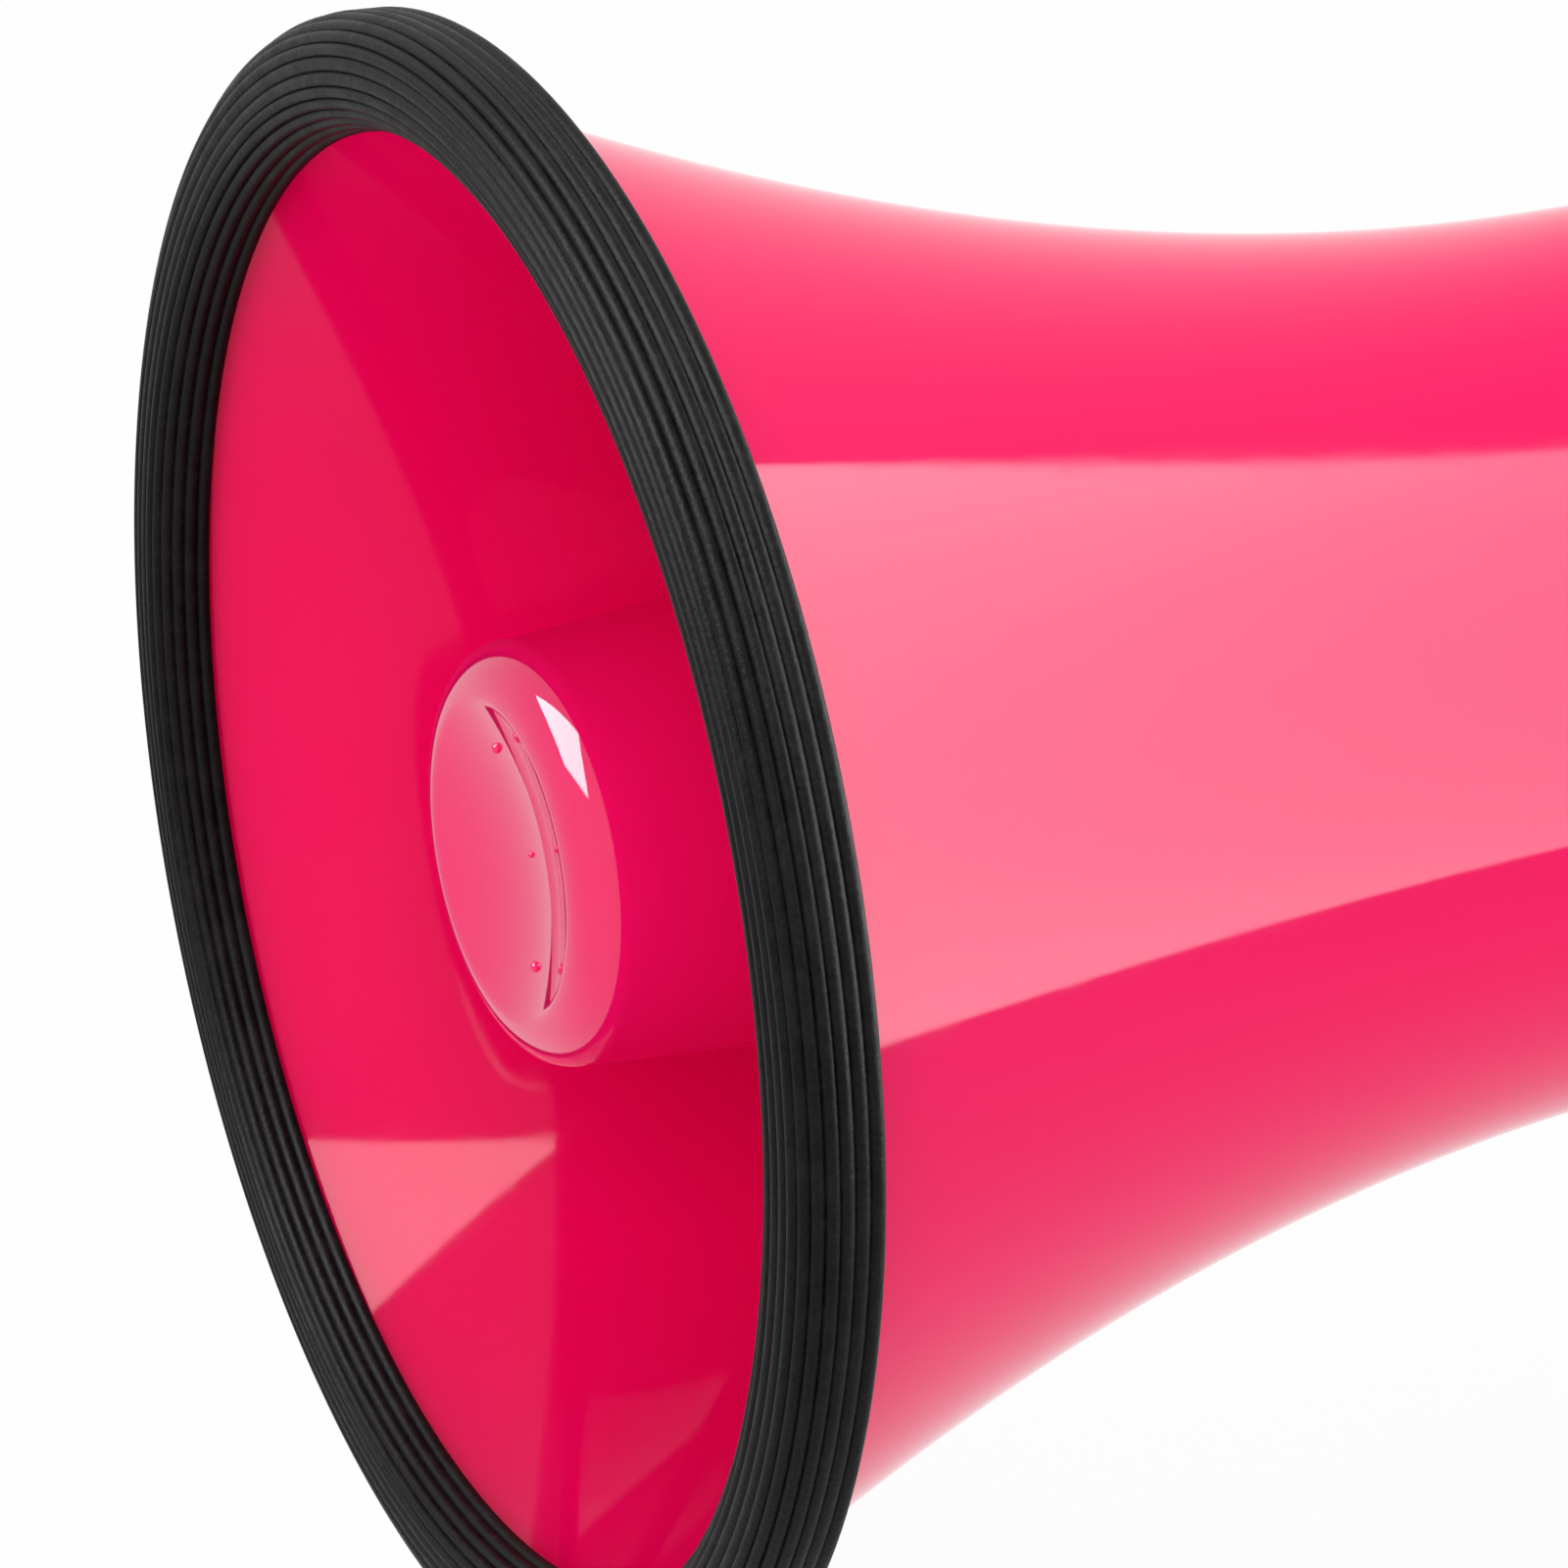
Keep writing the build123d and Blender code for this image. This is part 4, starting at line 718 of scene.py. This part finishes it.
@dataclass
class ReflectorCup:
    """The cup in the bell's mouth: dished face, rounded edge, tapered wall and screw bosses."""

    wardrobe: Wardrobe
    front_r: float = 26.0 * MM
    edge: float = 6.0 * MM
    dish: float = 4.5 * MM
    wall: float = 2.4 * MM
    taper: float = 5.0
    pip_pitch: float = 13.5 * MM
    pip_turn: float = -22.0
    pip_r: float = 0.7 * MM
    gate_r: float = 0.45 * MM
    boss_pitch: float = 27.0 * MM
    boss_r: float = 3.6 * MM
    boss_length: float = 12.0 * MM
    boss_back: float = 12.0 * MM
    boss_angles: tuple[float, ...] = (60.0, 180.0, 300.0)
    steps: int = 24
    body: str = "horn_body"

    def face(self, radius: float) -> float:
        """Where the dished face lies, at a radius."""
        crest = self.front_r - self.edge
        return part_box("reflector_cup")[0].x + self.dish * (1 - (radius / crest) ** 2)

    def side(self, x: float) -> float:
        """Outside radius of the tapered wall at x."""
        return self.front_r + math.tan(math.radians(self.taper)) * (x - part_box("reflector_cup")[0].x)

    def section(self) -> list[tuple[float, float]]:
        """The closed section, from the middle of the face round to the middle of its inside."""
        low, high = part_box("reflector_cup")
        crest = self.front_r - self.edge
        reach = [crest * i / self.steps for i in range(self.steps)]
        dish = [(self.face(r), r) for r in reach]
        quarter = [i / self.steps * math.pi / 2 for i in range(self.steps + 1)]
        rounding = [(low.x + self.edge * (1 - math.cos(a)),
                     crest + (self.side(low.x + self.edge) - crest) * math.sin(a)) for a in quarter]
        inner_x = low.x + self.dish + self.wall
        wall = [(high.x, self.side(high.x)), (high.x, self.side(high.x) - self.wall),
                (inner_x, self.side(inner_x) - self.wall), (inner_x, 0.0)]
        return dish + rounding + wall

    def dots(self) -> list[bpy.types.Object]:
        """The two pips and the gate mark on the face."""
        a = math.radians(self.pip_turn)
        spots = [(side * self.pip_pitch, self.pip_r) for side in (-1, 1)] + [(0.0, self.gate_r)]
        made = []
        for reach, radius in spots:
            deselect()
            bpy.ops.mesh.primitive_uv_sphere_add(
                segments=16, ring_count=10, radius=radius,
                location=(self.face(abs(reach)), -reach * math.sin(a), reach * math.cos(a)))
            made.append(name_piece("pip"))
        return made

    def bosses(self) -> list[bpy.types.Object]:
        """The screw bosses inside the cup."""
        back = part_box("reflector_cup")[1].x - self.boss_back
        made = []
        for angle in self.boss_angles:
            a = math.radians(angle)
            place = (back - self.boss_length / 2, -self.boss_pitch * math.sin(a),
                     self.boss_pitch * math.cos(a))
            made.append(drill(self.boss_r, self.boss_length, place, (0.0, math.pi / 2, 0.0)))
        return made

    def build(self) -> None:
        """Makes the cup and puts it in the CAD cup's place."""
        cup = lathe("cup_dished", self.section(), 192, 40.0)
        parts = self.dots() + self.bosses()
        deselect()
        for part in parts:
            part.select_set(True)
        cup.select_set(True)
        bpy.context.view_layer.objects.active = cup
        bpy.ops.object.join()
        settle(cup, 40.0)
        self.wardrobe.dress(cup, Finish.CUP)
        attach(cup, self.body)
        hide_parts("reflector_cup")
        report(cup, self.body)


@dataclass
class ReturnSpring:
    """The coiled spring over the trigger's rear arm."""

    wardrobe: Wardrobe
    wire: float = 0.8 * MM
    turns: int = 7
    sides: int = 10
    steps: int = 24
    lift: float = 0.79
    body: str = "horn_body"

    def build(self) -> None:
        """Winds the spring in the CAD sleeve's place."""
        low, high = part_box("trigger_spring")
        centre = (low + high) / 2
        coil = (high.x - low.x - self.wire) / 2
        deselect()
        bpy.ops.mesh.primitive_circle_add(
            vertices=self.sides, radius=self.wire / 2, fill_type="NGON",
            location=(coil, 0.0, 0.0), rotation=(math.pi / 2, 0.0, 0.0))
        spring = name_piece("return_coil")
        bpy.ops.object.transform_apply(location=True, rotation=True, scale=True)
        winding = spring.modifiers.new("winding", "SCREW")
        winding.axis, winding.iterations = "Z", self.turns
        winding.steps = winding.render_steps = self.steps
        winding.screw_offset = (high.z - low.z - self.wire) / self.turns
        winding.use_merge_vertices = False
        bpy.ops.object.modifier_apply(modifier=winding.name)
        spring.location = (centre.x, centre.y, low.z + self.wire / 2)
        bpy.ops.object.mode_set(mode="EDIT")
        bpy.ops.mesh.select_all(action="SELECT")
        bpy.ops.mesh.normals_make_consistent(inside=False)
        bpy.ops.object.mode_set(mode="OBJECT")
        settle(spring, 60.0)
        self.wardrobe.dress(spring, Finish.ZINC)
        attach(spring, self.body)
        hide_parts("trigger_spring")
        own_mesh(spring)
        report(spring, self.body)


@dataclass
class VolumeScale:
    """Raised marks round the volume knob."""

    wardrobe: Wardrobe
    marks: int = 11
    sweep: float = 140.0
    gap: float = 2.0 * MM
    length: float = 2.6 * MM
    width: float = 0.7 * MM
    height: float = 0.25 * MM
    sunk: float = 0.2 * MM
    button_stands: float = 3.0 * MM
    long_every: int = 5
    long_share: float = 1.3
    body: str = "rear_cover"

    def build(self) -> None:
        """Sets the marks on the cover's face."""
        low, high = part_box("volume_knob")
        centre = (low + high) / 2
        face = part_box("siren_button")[1].x - self.button_stands
        radius = (high.y - low.y) / 2 + self.gap + self.length / 2
        deselect()
        marks = []
        for i in range(self.marks):
            a = math.radians(-self.sweep + 2 * self.sweep * i / (self.marks - 1))
            grow = self.long_share if i % self.long_every == 0 else 1.0
            bpy.ops.mesh.primitive_cube_add(
                size=1.0, rotation=(a, 0.0, 0.0),
                location=(face + (self.height - self.sunk) / 2, centre.y - radius * math.sin(a),
                          centre.z + radius * math.cos(a)),
                scale=(self.height + self.sunk, self.width * grow, self.length * grow))
            marks.append(name_piece("mark"))
        deselect()
        for mark in marks:
            mark.select_set(True)
        bpy.context.view_layer.objects.active = marks[0]
        bpy.ops.object.join()
        scale = name_piece("volume_scale")
        settle(scale, 30.0)
        self.wardrobe.dress(scale, Finish.MARK)
        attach(scale, self.body)
        report(scale, self.body)


@dataclass
class SmoothShells:
    """Welded copies of the moulded parts, so that their curves shade evenly."""

    wardrobe: Wardrobe
    nodes: dict[str, bpy.types.Object]
    bodies: dict[str, list[str]]
    slots: dict[str, str]
    angle: float = 28.0
    names: tuple[str, ...] = (
        "throat_horn", "rear_housing", "rear_cover", "grip_left", "grip_right",
        "trigger", "volume_knob", "siren_button", "power_lamp", "strap_eye", "mic_grille",
        "housing_screws", "grip_screws", "cover_hinge_pin", "aux_jack", "driver_front",
        "magnet_ring", "pole_yoke", "battery_cells", "battery_tray", "phase_plug")

    def build(self) -> None:
        """Makes and dresses each copy."""
        wears = {name: finish for finish, names in NODE_FINISH.items() for name in names.split()}
        home = {node: body for body, members in self.bodies.items() for node in members}
        for name in self.names:
            copy = smooth_copy(self.nodes[name], self.angle)
            self.wardrobe.dress(copy, wears[name])
            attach(copy, home[name])
            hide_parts(name)
            report(copy, home[name])


@dataclass
class CarriedNodes:
    """The CAD nodes, which keep their shape and get a finish."""

    wardrobe: Wardrobe
    nodes: dict[str, bpy.types.Object]

    def build(self) -> None:
        """Dresses every CAD node."""
        for finish, names in NODE_FINISH.items():
            for name in names.split():
                self.wardrobe.dress(self.nodes[name], finish)
        LOG.info("dressed %d CAD nodes", len(self.nodes))


# ---- studio --------------------------------------------------------------------------------------
@dataclass
class Panel:
    """A soft box: a rectangular lamp aimed at a point, for reflections, for matt light or both."""

    name: str
    place: tuple[float, float, float]
    aim: tuple[float, float, float]
    width: float
    height: float
    watts: float
    roll: float = 0.0
    glossy: bool = True
    diffuse: bool = True

    def build(self) -> None:
        """Adds the lamp."""
        data = bpy.data.lights.new(self.name, "AREA")
        data.shape = "RECTANGLE"
        data.size, data.size_y, data.energy = self.width, self.height, self.watts
        lamp = bpy.data.objects.new(self.name, data)
        bpy.context.scene.collection.objects.link(lamp)
        way = Vector(self.aim) - Vector(self.place)
        lamp.rotation_mode = "QUATERNION"
        spin = Matrix.Rotation(math.radians(self.roll), 4, "Z").to_quaternion()
        lamp.rotation_quaternion = way.to_track_quat("-Z", "Y") @ spin
        lamp.location = self.place
        lamp.visible_camera = False
        lamp.visible_glossy = self.glossy
        lamp.visible_diffuse = self.diffuse


@dataclass
class Studio:
    """Floor, lamps, world and camera."""

    eye: tuple[float, float, float] = (-0.1725, -0.43096, 0.19677)
    forward: tuple[float, float, float] = (0.42693, 0.82467, -0.37101)
    right: tuple[float, float, float] = (0.88805, -0.45974, 0.0)
    lens: float = 96.06
    floor_half: float = 6.0
    world_level: float = 0.5
    panels: list[Panel] = field(default_factory=lambda: [
        Panel("side_softbox", (0.345, -0.2625, 0.082), (0.0, -0.2625, 0.082), 0.375, 0.336, 4.0,
              diffuse=False),
        Panel("side_softbox_top", (0.345, -0.045, 0.17), (0.0, -0.045, 0.17), 0.06, 0.16, 0.302,
              diffuse=False),
        Panel("top_softbox", (-0.6, 0.0, 0.6), (-0.6, 0.0, 0.0), 0.7, 0.7, 22.0, 35.0,
              diffuse=False),
        Panel("front_fill", (-0.9, -1.7, 1.1), (0.1, 0.0, 0.0), 1.2, 1.2, 24.0, glossy=False),
        Panel("top_fill", (0.3, 0.3, 1.6), (0.15, 0.0, 0.0), 1.2, 1.2, 13.0, glossy=False),
    ])

    def make_camera(self) -> None:
        """Adds the camera and makes it the scene's."""
        data = bpy.data.cameras.new("camera")
        data.lens, data.sensor_width = self.lens, 36.0
        data.clip_start = 0.01
        camera = bpy.data.objects.new("camera", data)
        bpy.context.scene.collection.objects.link(camera)
        back = -Vector(self.forward).normalized()
        right = Vector(self.right).normalized()
        up = back.cross(right)
        turn = Matrix((right, up, back)).transposed().to_4x4()
        camera.matrix_world = Matrix.Translation(self.eye) @ turn
        bpy.context.scene.camera = camera

    def make_floor(self) -> None:
        """Adds a pale floor that reads as white and keeps the object's shadow."""
        deselect()
        bpy.ops.mesh.primitive_plane_add(size=2 * self.floor_half)
        floor = name_piece("floor")
        floor.location.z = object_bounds()[0].z - 0.2 * MM
        settle(floor)
        s = Shader("floor_white")
        s.set(Base_Color=(0.86, 0.86, 0.86), Roughness=0.9, Specular_IOR_Level=0.1)
        ray = s.add("ShaderNodeLightPath", output="Is Camera Ray")
        glossy = s.add("ShaderNodeLightPath", output="Is Glossy Ray")
        clear = s.add("ShaderNodeLightPath", output="Is Transmission Ray")
        glow = s.add("ShaderNodeEmission", inputs={"Color": (1.0, 1.0, 1.0), "Strength": 1.0})
        body = Sock(s, s.body.outputs["BSDF"])
        share = ray * 0.95 + glossy + clear
        mixed = s.add("ShaderNodeMixShader", inputs={0: share, 1: body, 2: glow})
        s.links.new(mixed.socket, s.output.inputs["Surface"])
        floor.data.materials.append(s.material)
        floor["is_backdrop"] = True

    def make_world(self) -> None:
        """An even pale surround."""
        world = bpy.data.worlds.new("surround")
        bpy.context.scene.world = world
        world.use_nodes = True
        nodes, links = world.node_tree.nodes, world.node_tree.links
        background = nodes["Background"]
        path = nodes.new("ShaderNodeLightPath")
        seen, both = nodes.new("ShaderNodeMath"), nodes.new("ShaderNodeMath")
        for node in (seen, both):
            node.operation, node.use_clamp = "ADD", True
        mix = nodes.new("ShaderNodeMix")
        mix.data_type = "RGBA"
        mix.inputs[6].default_value = (self.world_level,) * 3 + (1.0,)
        mix.inputs[7].default_value = (1.0, 1.0, 1.0, 1.0)
        links.new(path.outputs["Is Camera Ray"], seen.inputs[0])
        links.new(path.outputs["Is Glossy Ray"], seen.inputs[1])
        links.new(seen.outputs[0], both.inputs[0])
        links.new(path.outputs["Is Transmission Ray"], both.inputs[1])
        links.new(both.outputs[0], mix.inputs[0])
        links.new(mix.outputs[2], background.inputs["Color"])

    def build(self) -> None:
        """Sets the whole stage."""
        self.make_camera()
        self.make_world()
        for panel in self.panels:
            panel.build()
        self.make_floor()
        bpy.context.scene.view_settings.view_transform = "Standard"


def main() -> None:
    """Builds everything in order."""
    logging.basicConfig(level=logging.INFO, format="%(message)s")
    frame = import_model()
    Studio().build()
    wardrobe = Wardrobe()
    record = frame["record"]
    slots = {part["node"]: part["material_slot"] for part in record["subparts"]}
    CarriedNodes(wardrobe, frame["nodes"]).build()
    SmoothShells(wardrobe, frame["nodes"], record["behaviour"]["bodies"], slots).build()
    Bell(wardrobe).build()
    RubberRim(wardrobe).build()
    ReflectorCup(wardrobe).build()
    ReturnSpring(wardrobe).build()
    VolumeScale(wardrobe).build()


if __name__ == "__main__":
    main()
